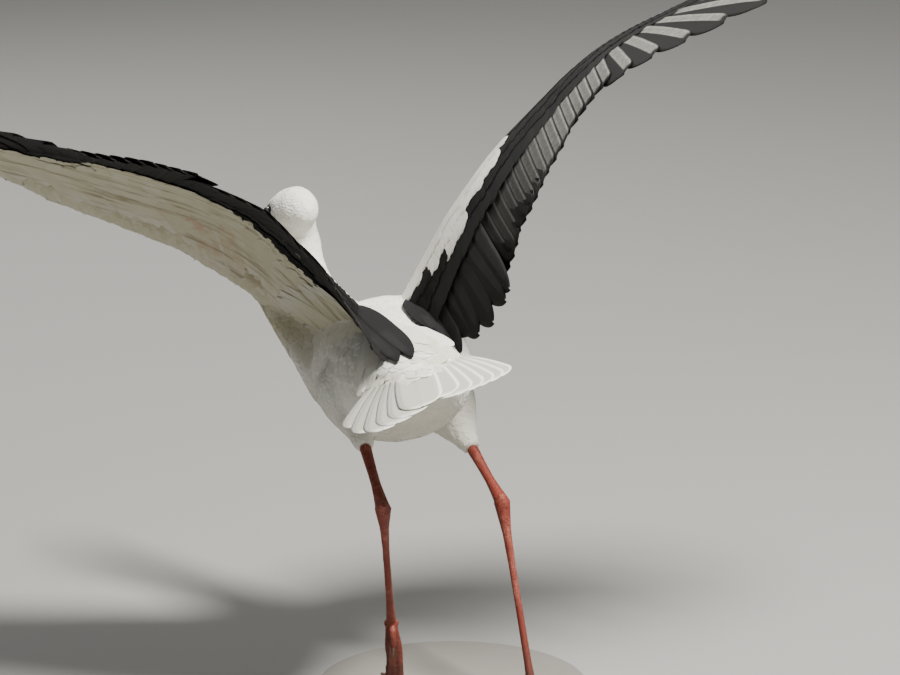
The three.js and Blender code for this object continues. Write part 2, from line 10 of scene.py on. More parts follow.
import bmesh
import bpy
import numpy as np
from bpy.props import FloatProperty, FloatVectorProperty, IntProperty, PointerProperty
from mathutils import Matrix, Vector
from mathutils.bvhtree import BVHTree
from mathutils.kdtree import KDTree


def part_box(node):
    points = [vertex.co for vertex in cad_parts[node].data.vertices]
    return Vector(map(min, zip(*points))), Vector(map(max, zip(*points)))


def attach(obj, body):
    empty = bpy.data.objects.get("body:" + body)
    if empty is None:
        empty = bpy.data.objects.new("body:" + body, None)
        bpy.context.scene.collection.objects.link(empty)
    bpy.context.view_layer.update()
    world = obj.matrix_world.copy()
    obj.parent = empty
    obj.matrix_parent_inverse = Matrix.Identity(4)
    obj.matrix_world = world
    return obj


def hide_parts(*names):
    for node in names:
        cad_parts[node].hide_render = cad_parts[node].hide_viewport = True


bl_info = {
    "name": "White stork",
    "version": (1, 0, 0),
    "blender": (4, 5, 0),
    "location": "3D View > Sidebar > Stork",
    "description": "Skin, feathers, bill, eyes, claws and board of a life-size white stork",
    "category": "Object",
}

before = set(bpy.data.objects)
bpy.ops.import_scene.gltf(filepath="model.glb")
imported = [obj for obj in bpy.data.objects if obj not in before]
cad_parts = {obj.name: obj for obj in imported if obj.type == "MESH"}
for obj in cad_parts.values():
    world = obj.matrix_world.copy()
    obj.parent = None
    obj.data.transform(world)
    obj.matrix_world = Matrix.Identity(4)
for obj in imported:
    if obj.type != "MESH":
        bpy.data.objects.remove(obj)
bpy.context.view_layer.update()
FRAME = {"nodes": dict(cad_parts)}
MM = 0.001
ROOT = "root"

# ---- the bird's driving dimensions, mm

BASE_PLACE = (88, -66)          # middle of the board
FLOOR_GAP = 0.3                 # the foot's level above the board's top

TRUNK_CENTRE = np.array([149, -96, 344.0])
TRUNK_YAW = 10
TRUNK_ROLL = 10
TRUNK_ALONG = [-194, -168, -125, -75, -15, 45, 95, 130, 152]
TRUNK_HALF = [24, 40, 55, 72, 86, 91, 84, 64, 30]
TRUNK_TOP = [64, 70, 73, 74, 76, 76, 71, 46, 16]
TRUNK_BOTTOM = [50, 20, -18, -50, -70, -76, -70, -50, -22]

NECK_LINE = [
    (12, -92, 4), (28, -150, -4), (70, -212, 10), (105, -250, 48), (114, -262, 92),
    (117, -250, 122)]

HEAD_CENTRE = (125, -262, 124)
HEAD_YAW = 32
HEAD_PITCH = -27
HEAD_ALONG = [-45, -39, -26, -6, 14, 30, 42]
HEAD_HALF = [8, 16, 22.5, 26, 24.5, 19, 13.5]
HEAD_TOP = [6, 16, 25, 28, 26, 19, 12.5]
HEAD_BOTTOM = [-12, -21, -26, -27, -25, -22, -19]
EYE_PLACE = (13, 18.6, 6)       # forward, sideways and up from the head's middle
EYE_RADIUS = 7.2
# Eye socket, brow, cheek and lore: height, place forward and up, reach forward and up.
HEAD_RELIEF = [
    (-1.6, 13, 6, 9, 8), (1.3, 12, 16, 12, 4), (1.2, 6, -11, 14, 7), (-1.2, 32, 3, 9, 4)]
BILL_LENGTH = 168
BILL_HALF = 12.5
BILL_TOP = 11.5
BILL_BOTTOM = 18
GAPE_DROP = 3

# Wing plan: x out from the shoulder, y back. Fours are read at shoulder, elbow, wrist, hand end.
ELBOW = 170
WRIST = 372
HAND_END = 532
STATIONS = [0, ELBOW, WRIST, HAND_END]
LEADING_EDGE = [-44, -30, -16, 14]
COVERT_EDGE = [98, 116, 96, 44]
COVERT_THICKNESS = 3.2
ARM_THICKNESS = [54, 29, 17, 8]
CREST = 92
CREST_RUN = 112
REAR_RUN = 190
REAR_CURL = 9
WING_POSES = {
    "left": {
        "side": 1, "shoulder": (46, -100, 48), "raise": 42, "elbow": -26, "hand": -3, "tip": 6,
        "sweep": 0.5, "pitch": [8, 19.5, 20, 14], "droop": [42, 54, 48, 30],
        "tertials": [184, 182, 168, 164, 165, 168, 170, 172], "tertial_rise": 6, "clearance": 7,
        "secondary_trim": ([150, 370], [0, 0]),
        "secondary_rise": ([244, 246, 300, 340, 370], [0, 8, 6, -1, -4]),
        "primary_trim": 0, "primary_rise": [-2, 5, 12, 14, 14],
    },
    "right": {
        "side": -1, "shoulder": (9, -100, 54), "raise": 64, "elbow": -20.5, "hand": -19.5, "tip": 6,
        "sweep": -7, "pitch": [-17, -10.5, -1.2, 1.5], "droop": [42, 50, 36, 12],
        "tertials": [74, 94, 110, 114, 133, 162, 169, 171], "tertial_rise": -5, "clearance": 3,
        "secondary_trim": ([150, 180, 200, 215, 232, 260, 290, 312, 330, 370],
                           [-37, -27, -30, -20, -11, -8, -9, -22, -18, -13]),
        "secondary_rise": ([150, 210, 270], [-13, -6, 0]),
        "primary_trim": 5, "primary_rise": [0, 0, 0, 0, 0],
    },
}
# Where each group of flight feathers roots along the wing, and how many there are.
TERTIALS = (2, 149.6, 8)
SECONDARIES = (150, 370, 16)
INNER_PRIMARIES = (372, 462, 5)
# The outer primaries: place, turn from straight out, length and width.
FINGERS = [
    (466, 58, 300, 48), (482, 48, 336, 46), (497, 38, 362, 44),
    (511, 28.5, 370, 42), (523, 20, 356, 39), (532, 12, 312, 34),
]
FINGER_SHARES = [0, 0.15, 0.5, 0.64, 0.76, 0.93, 1]
FINGER_WIDTHS = [0.34, 0.5, 0.56, 0.5, 0.37, 0.28, 0.07]

# Where white gives way to black: distance back, read at stations along the wing.
UPPER_STATIONS = [-40, 0, 60, 100, 125, 140, 216, 258, 380, 430, 460]
UPPER_EDGE = [66, 72, 82, 112, 126, 100, 92, 44, 22, -4, -40]
UNDER_STATIONS = [0, 60, 120, 160, 192, 222, 300, 345, 362, 414, 444, 530]
UNDER_EDGE = [76, 74, 66, 75, 86, 101, 114, 105, 66, 64, 72, 52]

# Rows of coverts, from the rear forward. Upper: tips behind the edge, length, height of the tips.
LESSER_ROWS = [(6, 62, 2.2), (-12, 52, 2.5), (-30, 46, 2.8)]
# Under: tips behind the edge of the white, length, half width, how many.
UNDER_ROWS = [(2, 84, 12.5, 32), (-24, 88, 14.0, 28), (-50, 74, 13.0, 28)]
WORN_PLACE = (175, 2)           # middle of the patch of the under side where skin shows through
WORN_REACH = 110

TAIL_ROOT = (-18, 140, 60)
TAIL_YAW = 7
TAIL_ROLL = 18
TAIL_RISE = -2
TAIL_WIDTH = 50
TAIL_LENGTH = 214
TAIL_HALF = 24.5
TAIL_SUNK = 32                  # how far the quills reach into the rump
RUMP_FADE = 60                  # over what length feathers sink from the rump to the tail
TAIL_LAYER = 1.488              # how far each feather lies under its neighbour nearer the middle
TAIL_TOP = 0.9                  # how far the topmost of the middle pair lies over the other
TAIL_TILT = 0.3                 # how far the edge towards the middle of the tail is raised
# From the bird's left: turn from the tail's axis, share of the length, how far the tip droops.
TAIL_FAN = [
    (21.4, 0.76, 2.5), (16.4, 0.92, 2.8), (12.4, 0.99, 3), (9.4, 0.97, 3), (6.4, 0.935, 3),
    (3.4, 0.885, 3), (-2.4, 0.83, 2.6), (-5.6, 0.86, 2.8), (-9.0, 0.84, 2.8), (-12.2, 0.82, 2.6),
    (-15.2, 0.80, 2.2), (-18.2, 0.77, 1.5),
]
TAIL_COVERTS = 170
TAIL_COVERT_START = -70         # behind the tail's root, so in front of it
TAIL_COVERT_RUN = 96
TAIL_COVERT_LENGTH = (60, 86)

LEGS = {
    "right": {
        "side": 1, "knee": (108, -200, 306), "feather_end": (66, -128, 253),
        "ankle": (34, -57, 214), "ball": (0, -2, 11), "toe_slope": 20, "spread": 1,
    },
    "left": {
        "side": -1, "knee": (205, -84, 348), "feather_end": (183, 6, 294),
        "ankle": (163, 75, 246), "ball": (156, -60, 72), "toe_slope": 80, "spread": 0.5,
    },
}
TOE_YAW = 4
TOES = {"inner": (34, 58), "middle": (0, 78), "outer": (-34, 64), "hind": (176, 27)}
TOE_HEIGHT = 3.4
CLAW_LENGTH = 11
CLAW_RADIUS = 2.7
# The soles of toes that hang bunched: how far each lies aside, and how that, its lean and its
# size run along the toe.
SOLE_ASIDE = {"inner": 5.6, "middle": -0.5, "outer": -5.8}
SOLE_SHARES = [0.03, 0.36, 0.84]
SOLE_RUNS = ([0.3, 1, 1], [0, -2.4, -7.5], [5.4, 6.2, 5.4])

PLUME_SPACING = 0.0085          # distances between neighbouring long feathers, m
MANTLE_SPACING = 0.0095
RUMP_SPACING = 0.0075
VENT_SPACING = 0.0085

STAGE_TARGET = (91, -100, 389)
FLOOR_HALF = 30
SENSOR_WIDTH = 36
VIEW_END = 100
# Each light: place from the target and size of its disk in metres, and its colour.
LIGHTS = {
    "key": ((-1.3, 1.0, 3.1), 0.9, (1.0, 0.97, 0.92)),
    "fill": ((2.8, 2.2, 1.0), 2.2, (0.93, 0.96, 1.0)),
    "rim": ((1.2, -2.8, 1.8), 1.6, (1.0, 0.98, 0.95)),
}
BACKDROP_COLOUR = (0.78, 0.80, 0.82, 1)
BACKDROP_STRENGTH = 0.16


def stance_origin():
    """The frame's place of the point that the sizes above are measured from."""
    low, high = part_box("stand_base")
    middle = (low + high) / 2
    return np.array([
        middle.x - BASE_PLACE[0] * MM, middle.y - BASE_PLACE[1] * MM, high.z + FLOOR_GAP * MM])


ORIGIN = stance_origin()


def in_frame(points):
    """Stance millimetres to the frame's metres."""
    return np.asarray(points, float) * MM + ORIGIN


def unit(vector):
    vector = np.asarray(vector, float)
    return vector / np.maximum(np.linalg.norm(vector, axis=-1, keepdims=True), 1e-9)


def dot(a, b):
    return (np.asarray(a) * np.asarray(b)).sum(-1)


def body_axes(yaw, pitch, roll):
    """Forward, left and up of a part that faces -Y and is then turned."""
    yaw, pitch, roll = (math.radians(angle) for angle in (yaw, pitch, roll))
    forward = np.array([
        math.sin(yaw) * math.cos(pitch), -math.cos(yaw) * math.cos(pitch), math.sin(pitch)])
    level = unit(np.cross([0, 0, 1], forward))
    left = level * math.cos(roll) + np.cross(forward, level) * math.sin(-roll)
    return forward, left, np.cross(forward, left)


TRUNK_AXES = body_axes(TRUNK_YAW, 0, TRUNK_ROLL)
HEAD_AXES = body_axes(HEAD_YAW, HEAD_PITCH, 0)
HEAD_MIDDLE = TRUNK_CENTRE + np.array(HEAD_CENTRE)


def head_point(forward, left, up):
    """A place measured from the head's middle, in stance millimetres."""
    places = [np.asarray(value, float)[..., None] for value in (forward, left, up)]
    return HEAD_MIDDLE + sum(place * axis for place, axis in zip(places, HEAD_AXES))


def measured(points, middle, axes):
    """Places in the frame as millimetres along a part's axes, from its middle."""
    offset = (points - in_frame(middle)) / MM
    return [dot(offset, axis) for axis in axes]


def station(values, x):
    """A value given at shoulder, elbow, wrist and hand end, read at x."""
    return np.interp(x, STATIONS, values)


class Wing:
    """One wing's plan laid in its pose. Lengths are stance millimetres."""

    def __init__(self, name):
        pose = WING_POSES[name]
        lift, sweep = math.radians(pose["raise"]), math.radians(pose["sweep"])
        self.name = name
        self.pose = pose
        self.side = pose["side"]
        level = math.cos(sweep)
        self.out = np.array([
            self.side * math.cos(lift) * level, math.sin(sweep), math.sin(lift) * level])
        self.back = unit(np.array([0, 1, 0]) - self.out * self.out[1])
        self.above = np.cross(self.out, self.back) * self.side
        self.shoulder = TRUNK_CENTRE + np.array(pose["shoulder"])
        # Where each stretch along the wing ends, and how far the wing turns up over it.
        self.spans = [
            (ELBOW - 80, 0), (ELBOW + 80, pose["elbow"]), (WRIST - 60, 0),
            (WRIST + 70, pose["hand"]), (HAND_END + 340, pose["tip"])]

    def place(self, x, y, z):
        """Plan coordinates to stance millimetres."""
        x, y, z = np.broadcast_arrays(np.asarray(x, float), y, z)
        heading = np.zeros(x.shape)
        climb = np.zeros(x.shape)
        run = np.minimum(x, 0)
        start = 0
        for end, turn in self.spans:
            reach = np.clip(x, start, end) - start
            angle = math.radians(turn) * reach / (end - start)
            chord = reach * np.sinc(angle / (2 * math.pi))
            run = run + chord * np.cos(heading + angle / 2)
            climb = climb + chord * np.sin(heading + angle / 2)
            heading = heading + angle
            start = end
        pitch = np.radians(station(self.pose["pitch"], x))
        lift = self.above * np.cos(heading)[..., None] - self.out * np.sin(heading)[..., None]
        return (self.shoulder + self.out * run[..., None] + self.above * climb[..., None]
                + self.back * (y * np.cos(pitch) - z * np.sin(pitch))[..., None]
                + lift * (y * np.sin(pitch) + z * np.cos(pitch))[..., None])

    def camber(self, x, y):
        """Height of the wing's middle surface."""
        front = np.maximum(0, (CREST - np.asarray(y, float)) / CREST_RUN)
        rear = np.maximum(0, (np.asarray(y, float) - CREST) / REAR_RUN)
        return -station(self.pose["droop"], x) * front ** 1.7 - REAR_CURL * rear ** 2

    def thickness(self, x, y):
        """Thickness of the covered front, thinning to a vane behind the coverts."""
        front, rear = station(LEADING_EDGE, x), station(COVERT_EDGE, x)
        share = np.clip((y - front) / (rear - front), 0.02, 1)
        arm = station(ARM_THICKNESS, x) * 2.1 * np.sqrt(share) * (1 - share)
        thick = arm + COVERT_THICKNESS * share
        behind = np.clip((y - rear) / 30, 0, 1)
        return thick * (1 - behind) + 1.2 * behind

    def cover(self, x, y, side):
        """Height of the upper (1) or under (-1) surface."""
        return self.camber(x, y) + side * self.thickness(x, y) / 2

    def blackness(self, x, y, side):
        """1 where the plumage is black, 0 where it is white."""
        places, edges = (UPPER_STATIONS, UPPER_EDGE) if side > 0 else (UNDER_STATIONS, UNDER_EDGE)
        return (np.asarray(y) > np.interp(x, places, edges)).astype(float)


WINGS = {name: Wing(name) for name in WING_POSES}


# ---- settings

def length_value(name, text, default):
    return FloatProperty(
        name=name, description=text, default=default, subtype="DISTANCE", unit="LENGTH")


def spacing_value(part, text, default):
    return length_value(f"{part} spacing", f"Distance between neighbouring {text}", default)


def depth_value(part, text, default):
    return length_value(f"{part} depth", f"Depth of the coat on the {text}", default)


def power_value(name, default):
    return FloatProperty(
        name=name, description=f"Power of the {name.lower()}", default=default, unit="POWER")


def colour_value(name, text, default):
    return FloatVectorProperty(
        name=name, description=text, default=default, size=3, min=0, max=1, subtype="COLOR")


class StorkCoatSettings(bpy.types.PropertyGroup):
    """How the small feathers are sized and set."""

    head_spacing: spacing_value("Head", "head feathers", 0.0023)
    neck_spacing: spacing_value("Neck", "neck feathers", 0.0039)
    trunk_spacing: spacing_value("Trunk", "body feathers", 0.0052)
    thigh_spacing: spacing_value("Thigh", "thigh feathers", 0.0043)
    wing_spacing: spacing_value("Wing", "lesser coverts", 0.0057)
    head_depth: depth_value("Head", "head", 0.0022)
    neck_depth: depth_value("Neck", "neck", 0.0030)
    trunk_depth: depth_value("Trunk", "body", 0.0038)
    thigh_depth: depth_value("Thigh", "thighs", 0.0031)
    wing_depth: depth_value("Wing", "wings", 0.0024)
    seed: IntProperty(name="Seed", description="Start of the random draws", default=11)


class StorkColourSettings(bpy.types.PropertyGroup):
    """The colours of the bird and its board."""

    white: colour_value("White", "White plumage", (0.86, 0.84, 0.78))
    # Cream serves stains, and painted shade on the wings' under side and at the roots of the tail
    # feathers.
    cream: colour_value("Cream", "Stained parts of the white plumage", (0.46, 0.43, 0.265))
    # Down gives streaks of painted shade between the rows of under coverts, standing also for their
    # downy bases.
    down: colour_value("Down", "Downy streaks of the under side", (0.27, 0.225, 0.13))
    pink: colour_value("Pink", "Bare skin that shows through thin feathers", (0.50, 0.20, 0.12))
    black: colour_value("Black", "Black plumage", (0.0060, 0.0062, 0.0070))
    slate: colour_value("Slate", "Brownish edges of the black plumage", (0.017, 0.0145, 0.0125))
    silver: colour_value("Silver", "Bloom on the flight feathers", (0.21, 0.213, 0.195))
    leg: colour_value("Leg", "Bare skin of the legs", (0.22, 0.026, 0.012))
    leg_pale: colour_value("Pale leg", "Chalky patches on the legs", (0.52, 0.17, 0.11))
    # Mud darkens the feet in patches towards the floor.
    mud: colour_value("Mud", "Dust and mud on the feet", (0.075, 0.028, 0.016))
    bill: colour_value("Bill", "Horn of the bill", (0.43, 0.026, 0.010))
    bill_tip: colour_value("Bill tip", "Paler horn near the tip", (0.50, 0.075, 0.028))
    bare_black: colour_value("Bare skin", "Skin round the eye and at the throat", (0.020, 0.018, 0.018))
    claw: colour_value("Claw", "Horn of the claws", (0.10, 0.055, 0.038))
    board: colour_value("Board", "Paint of the board", (0.20, 0.192, 0.175))
    floor: colour_value("Floor", "Floor of the stage", (0.30, 0.30, 0.29))


class StorkStageSettings(bpy.types.PropertyGroup):
    """The camera's place and the lights."""

    distance: length_value("Distance", "Camera to the point it looks at", 5.5)
    elevation: FloatProperty(
        name="Elevation", description="Camera above the horizon", default=math.radians(15),
        subtype="ANGLE")
    lens: FloatProperty(name="Lens", description="Focal length", default=200, unit="CAMERA")
    key_power: power_value("Key light", 400)
    fill_power: power_value("Fill light", 5)
    rim_power: power_value("Rim light", 60)


def coat_settings():
    return bpy.context.scene.stork_coat


def colours():
    return bpy.context.scene.stork_colours


def draws_from(number):
    """Random draws of one piece, told from the others' by a number."""
    return np.random.default_rng(coat_settings().seed + number)


def scaled(colour, share):
    return tuple(value * share for value in colour)


# ---- meshes

def link_object(name, data):
    piece = bpy.data.objects.new(name, data)
    bpy.context.scene.collection.objects.link(piece)
    return piece


def finish_piece(piece, material, slot, *nodes):
    """Gives the piece its material and body, and hides the CAD nodes it stands for; slot is not used.
    """
    piece.data.materials.append(material)
    piece.data.shade_smooth()
    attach(piece, ROOT)
    if nodes:
        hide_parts(*nodes)


def piece_from(shape, name):
    """A bmesh in the frame's metres, as an object."""
    bmesh.ops.recalc_face_normals(shape, faces=shape.faces[:])
    mesh = bpy.data.meshes.new(name)
    shape.to_mesh(mesh)
    shape.free()
    return link_object(name, mesh)


def lofted(rings):
    """Skins rings of equal size: a circle, extruded from ring to ring and closed at both ends."""
    shape = bmesh.new()
    ring = bmesh.ops.create_circle(shape, cap_ends=False, segments=len(rings[0]), radius=1)["verts"]
    edges = shape.edges[:]
    for number, places in enumerate(rings):
        if number:
            made = bmesh.ops.extrude_edge_only(shape, edges=edges)["geom"]
            grown = {vert for vert in made if isinstance(vert, bmesh.types.BMVert)}
            edges = [edge for edge in made
                     if isinstance(edge, bmesh.types.BMEdge) and grown.issuperset(edge.verts)]
            ring = [
                next(other for other in (edge.other_vert(old) for edge in old.link_edges)
                     if other in grown)
                for old in ring]
        for vert, place in zip(ring, places):
            vert.co = place
    ends = bmesh.ops.holes_fill(shape, edges=shape.edges[:], sides=0)["faces"]
    bmesh.ops.poke(shape, faces=ends, center_mode="MEAN")
    return shape


def oval_rings(centres, across, upward, halves, tops, bottoms, sides):
    """Ovals with their own upper and lower heights, square to two unit vectors."""
    turns = np.arange(sides) / sides * 2 * math.pi
    rings = []
    for centre, half, top, bottom in zip(centres, halves, tops, bottoms):
        rise = np.where(np.sin(turns) > 0, top, bottom) * np.sin(turns)
        rings.append(centre + np.outer(np.cos(turns) * half, across) + np.outer(rise, upward))
    return rings


def merged_copy(node):
    """A CAD node's shape with its loose triangles joined."""
    shape = bmesh.new()
    shape.from_mesh(FRAME["nodes"][node].data)
    bmesh.ops.remove_doubles(shape, verts=shape.verts[:], dist=0.02 * MM)
    bmesh.ops.recalc_face_normals(shape, faces=shape.faces[:])
    return shape


def swollen(shape, amount):
    """Moves every point out along its normal."""
    shape.normal_update()
    moves = [vert.normal * amount for vert in shape.verts]
    for vert, move in zip(shape.verts, moves):
        vert.co += move
    return shape


def shell_of(shapes, voxel, rounds, name):
    """Closed shapes that overlap, made one even mesh."""
    joined = bmesh.new()
    for shape in shapes:
        part = bpy.data.meshes.new("part")
        shape.to_mesh(part)
        shape.free()
        joined.from_mesh(part)
        bpy.data.meshes.remove(part)
    mesh = bpy.data.meshes.new(name)
    joined.to_mesh(mesh)
    joined.free()
    piece = link_object(name, mesh)
    remesh = piece.modifiers.new("Shell", "REMESH")
    remesh.mode = "VOXEL"
    remesh.voxel_size = voxel * MM
    even = piece.modifiers.new("Even", "SMOOTH")
    even.factor = 0.5
    even.iterations = rounds
    graph = bpy.context.evaluated_depsgraph_get()
    result = bpy.data.meshes.new_from_object(piece.evaluated_get(graph))
    bpy.data.objects.remove(piece)
    bpy.data.meshes.remove(mesh)
    return result


def mesh_arrays(mesh):
    """Points, normals and triangles of a mesh."""
    mesh.calc_loop_triangles()
    points = np.zeros(len(mesh.vertices) * 3)
    mesh.vertices.foreach_get("co", points)
    normals = np.zeros(len(mesh.vertices) * 3)
    mesh.vertices.foreach_get("normal", normals)
    triangles = np.zeros(len(mesh.loop_triangles) * 3, int)
    mesh.loop_triangles.foreach_get("vertices", triangles)
    return points.reshape(-1, 3), normals.reshape(-1, 3), triangles.reshape(-1, 3)


def set_attribute(mesh, name, values):
    layer = mesh.attributes.new(name, "FLOAT", "POINT")
    layer.data.foreach_set("value", np.asarray(values, np.float32).ravel())


def set_map(mesh, name, places):
    """A UV map from one place per vertex."""
    corners = np.zeros(len(mesh.loops), int)
    mesh.loops.foreach_get("vertex_index", corners)
    layer = mesh.uv_layers.new(name=name)
    layer.data.foreach_set("uv", np.asarray(places, np.float32)[corners].ravel())


# ---- feathers

class Vane:
    """A feather's flat pattern: across from -1 to 1, along from 0 to 1, and its faces.

    A closed pattern has an upper (1) and an under (-1) side; an open one is a single sheet.
    """

    def __init__(self, columns, rows, closed=False, shaft=0.0, fringe=0.0):
        sheet = bmesh.new()
        bmesh.ops.create_grid(sheet, x_segments=columns, y_segments=rows, size=1)
        if closed:
            bmesh.ops.solidify(sheet, geom=sheet.faces[:], thickness=1)
        heights = [vert.co.z for vert in sheet.verts]
        middle = (min(heights) + max(heights)) / 2
        sheet.normal_update()
        sheet.verts.index_update()
        self.across = np.array([vert.co.x for vert in sheet.verts])
        self.along = np.array([(vert.co.y + 1) / 2 for vert in sheet.verts])
        self.face = np.array([1.0 if height >= middle else -1.0 for height in heights])
        self.faces = np.array([[vert.index for vert in face.verts] for face in sheet.faces])
        even = self.across
        if shaft:
            knots = np.linspace(0, 1, columns // 2 + 1)
            set_in = np.concatenate([[0, shaft], np.linspace(shaft, 1, columns // 2)[1:]])
            self.across = np.sign(self.across) * np.interp(np.abs(self.across), knots, set_in)
        rank = np.round((even + 1) / 2 * columns).astype(int)
        at_tip = self.along > 0.999
        self.fringe = fringe * (rank % 2) * at_tip
        self.along = np.sin(self.along * math.pi / 2)
        sheet.free()


SMALL_VANE = Vane(4, 4, fringe=0.03)
COVERT_VANE = Vane(6, 7)
FLIGHT_VANE = Vane(8, 20, closed=True, shaft=0.07)
FLIGHT_THICKNESS = 0.22         # half of a flight feather's
FEATHER_PATCH = 0.003           # size of one feather on its piece's unwrap
MIDDLE_LINE = 0.01              # what counts as a feather's shaft, of its half width


def rounded(along, base=0.35, widest=0.55, tip=0.72):
    """Half width of a round-tipped vane as a share of its widest."""
    opening = base + (1 - base) * np.sin(np.clip(along / widest, 0, 1) * math.pi / 2)
    closing = np.sqrt(np.clip(1 - (np.clip(along - tip, 0, None) / (1 - tip)) ** 2, 0.004, 1))
    return opening * closing


def feather_piece(name, vane, points, roots, traits):
    """One mesh of many like feathers.

    points holds every feather's places in stance millimetres, roots the place of each on the
    skin's unwrap, and traits values per feather or per point, read by the materials.
    """
    count, size = points.shape[:2]
    mesh = bpy.data.meshes.new(name)
    corners = (vane.faces[None] + (np.arange(count) * size)[:, None, None]).reshape(-1, 4)
    mesh.vertices.add(count * size)
    mesh.vertices.foreach_set("co", in_frame(points.reshape(-1, 3)).ravel())
    mesh.loops.add(corners.size)
    mesh.loops.foreach_set("vertex_index", corners.ravel())
    mesh.polygons.add(len(corners))
    mesh.polygons.foreach_set("loop_start", np.arange(len(corners)) * 4)
    mesh.update(calc_edges=True)
    mesh.validate()
    under = vane.face < 0
    pattern = np.stack([(vane.across + 1) / 2 - 2 * under, vane.along], -1)
    set_map(mesh, "Vane", np.broadcast_to(pattern, (count, size, 2)).reshape(-1, 2))
    patch = np.stack([vane.across / 2 + 0.04 * under, vane.along - 0.5], -1) * FEATHER_PATCH
    set_map(mesh, "OFBake", (roots[:, None] + patch[None]).reshape(-1, 2))
    for trait, values in traits.items():
        values = np.asarray(values, float)
        if values.ndim == 1:
            values = values[:, None]
        set_attribute(mesh, trait, np.broadcast_to(values, (count, size)))
    return link_object(name, mesh)


def plan_vanes(wing, vane, row, outline):
    """Feathers of a wing's row in stance millimetres, from arrays with one value per feather.

    The row gives root and tip in plan, half widths out and in, how far the tip bends outward,
    height(x, y) of the surface it lies on, its layer there at root and tip, the tilt that
    raises the outer edge, the side of the wing, and a ridge for the shaft.
    """
    root, tip = np.asarray(row["root"], float), np.asarray(row["tip"], float)
    axis = tip - root
    length = np.linalg.norm(axis, axis=1)
    way = axis / length[:, None]
    side = np.stack([way[:, 1], -way[:, 0]], -1)
    across, along = vane.across[None], vane.along[None]
    half = np.where(across > 0, row["outer"][:, None], row["inner"][:, None])
    reach = along * length[:, None]
    shift = across * half * outline(along) + row["bend"][:, None] * along ** 2
    x = root[:, :1] + way[:, :1] * reach + side[:, :1] * shift
    y = root[:, 1:] + way[:, 1:] * reach + side[:, 1:] * shift
    row["span"], row["chord"] = x, y
    layer = row["layer"][:, :1] * (1 - along) + row["layer"][:, 1:] * along
    shaft = np.abs(across) < MIDDLE_LINE
    ridge = row.get("shaft", 0) * shaft * (1 - 0.8 * along)
    cup = -row["cup"] * across ** 2 + row.get("rise", np.zeros(len(root)))[:, None] * along ** 1.6
    z = (row["height"](x, y) + row["side"] * (layer + cup) + row["tilt"] * across
         + vane.face[None] * (row.get("thick", 0) + ridge))
    return wing.place(x, y, z)


def draped(points, clearance):
    """Lifts places that lie lower than the clearance over the back, and less behind the rump."""
    forward, left, up = TRUNK_AXES
    offset = points - TRUNK_CENTRE
    reach = dot(offset, forward)
    half, top, bottom = (np.interp(reach, TRUNK_ALONG, values)
                         for values in (TRUNK_HALF, TRUNK_TOP, TRUNK_BOTTOM))
    sideways = np.abs(dot(offset, left)) / (half + clearance)
    bulge = np.sqrt(np.clip(1 - sideways ** 2, 0, 1))
    surface = (top + bottom) / 2 + ((top - bottom) / 2 + clearance) * bulge
    inside = (reach < TRUNK_ALONG[-1]) & (sideways < 1)
    fade = np.clip(1 - (TRUNK_ALONG[0] - reach) / RUMP_FADE, 0, 1)
    lift = np.where(inside, np.maximum(0, surface - dot(offset, up)), 0) * fade
    return points + up * lift[..., None]


PLAN_MARGIN = 60
PLAN_SIZE = (1000, 800)         # millimetres of the plan that the unwrap's square holds


def plan_map(x, y, under):
    """A wing's own unwrap: the upper side below, the under side half a square above it."""
    u = (np.asarray(x, float) + PLAN_MARGIN) / PLAN_SIZE[0]
    v = (np.asarray(y, float) + PLAN_MARGIN) / PLAN_SIZE[1]
    return np.stack([u, v + 0.5 * np.asarray(under)], -1)


def worn_patch(x, y, depth):
    """1 in the middle of the worn patch of a wing's under side, fading outward."""
    return np.exp(-((x - WORN_PLACE[0]) / WORN_REACH) ** 2 - ((y - WORN_PLACE[1]) / depth) ** 2)


# ---- skin and the lie of the coat

FLESH = {
    "trunk": ["trunk"],
    "neck": ["neck_lower", "neck_middle", "neck_upper"],
    "head": ["head"],
    "thigh_left": ["leg_left_thigh"],
    "thigh_right": ["leg_right_thigh"],
    "wing_left": ["wing_left_arm", "wing_left_forearm", "wing_left_hand"],
    "wing_right": ["wing_right_arm", "wing_right_forearm", "wing_right_hand"],
}
BARE_LEG = ["leg_{}_shank", "leg_{}_tarsus", "leg_{}_foot"]
BODY_SHELL = (3.4, 14)          # size of the voxels and rounds of smoothing
HEAD_SHELL = (1.15, 2)
LEG_SHELL = (1.45, 3)
HEAD_STEP = 3                   # how much deeper the skin lies under the head's own finer one
REGION_BLEND = 7                # over what distance one region's coat runs into the next
WEIGHT_ROUNDS, WAY_ROUNDS = 6, 8
FEATHERED, BARE = 0, 1


def smooth_line(corners, count):
    """A smooth line through a few points, as many points."""
    line = bpy.data.curves.new("line", "CURVE")
    line.dimensions = "3D"
    spline = line.splines.new("BEZIER")
    spline.bezier_points.add(len(corners) - 1)
    for point, corner in zip(spline.bezier_points, corners):
        point.co = corner
        point.handle_left_type = point.handle_right_type = "AUTO"
    line.resolution_u = 24
    holder = link_object("line", line)
    graph = bpy.context.evaluated_depsgraph_get()
    mesh = bpy.data.meshes.new_from_object(holder.evaluated_get(graph))
    points = np.array([vert.co[:] for vert in mesh.vertices])
    bpy.data.objects.remove(holder)
    bpy.data.meshes.remove(mesh)
    bpy.data.curves.remove(line)
    return along_line(points, np.linspace(0, 1, count))


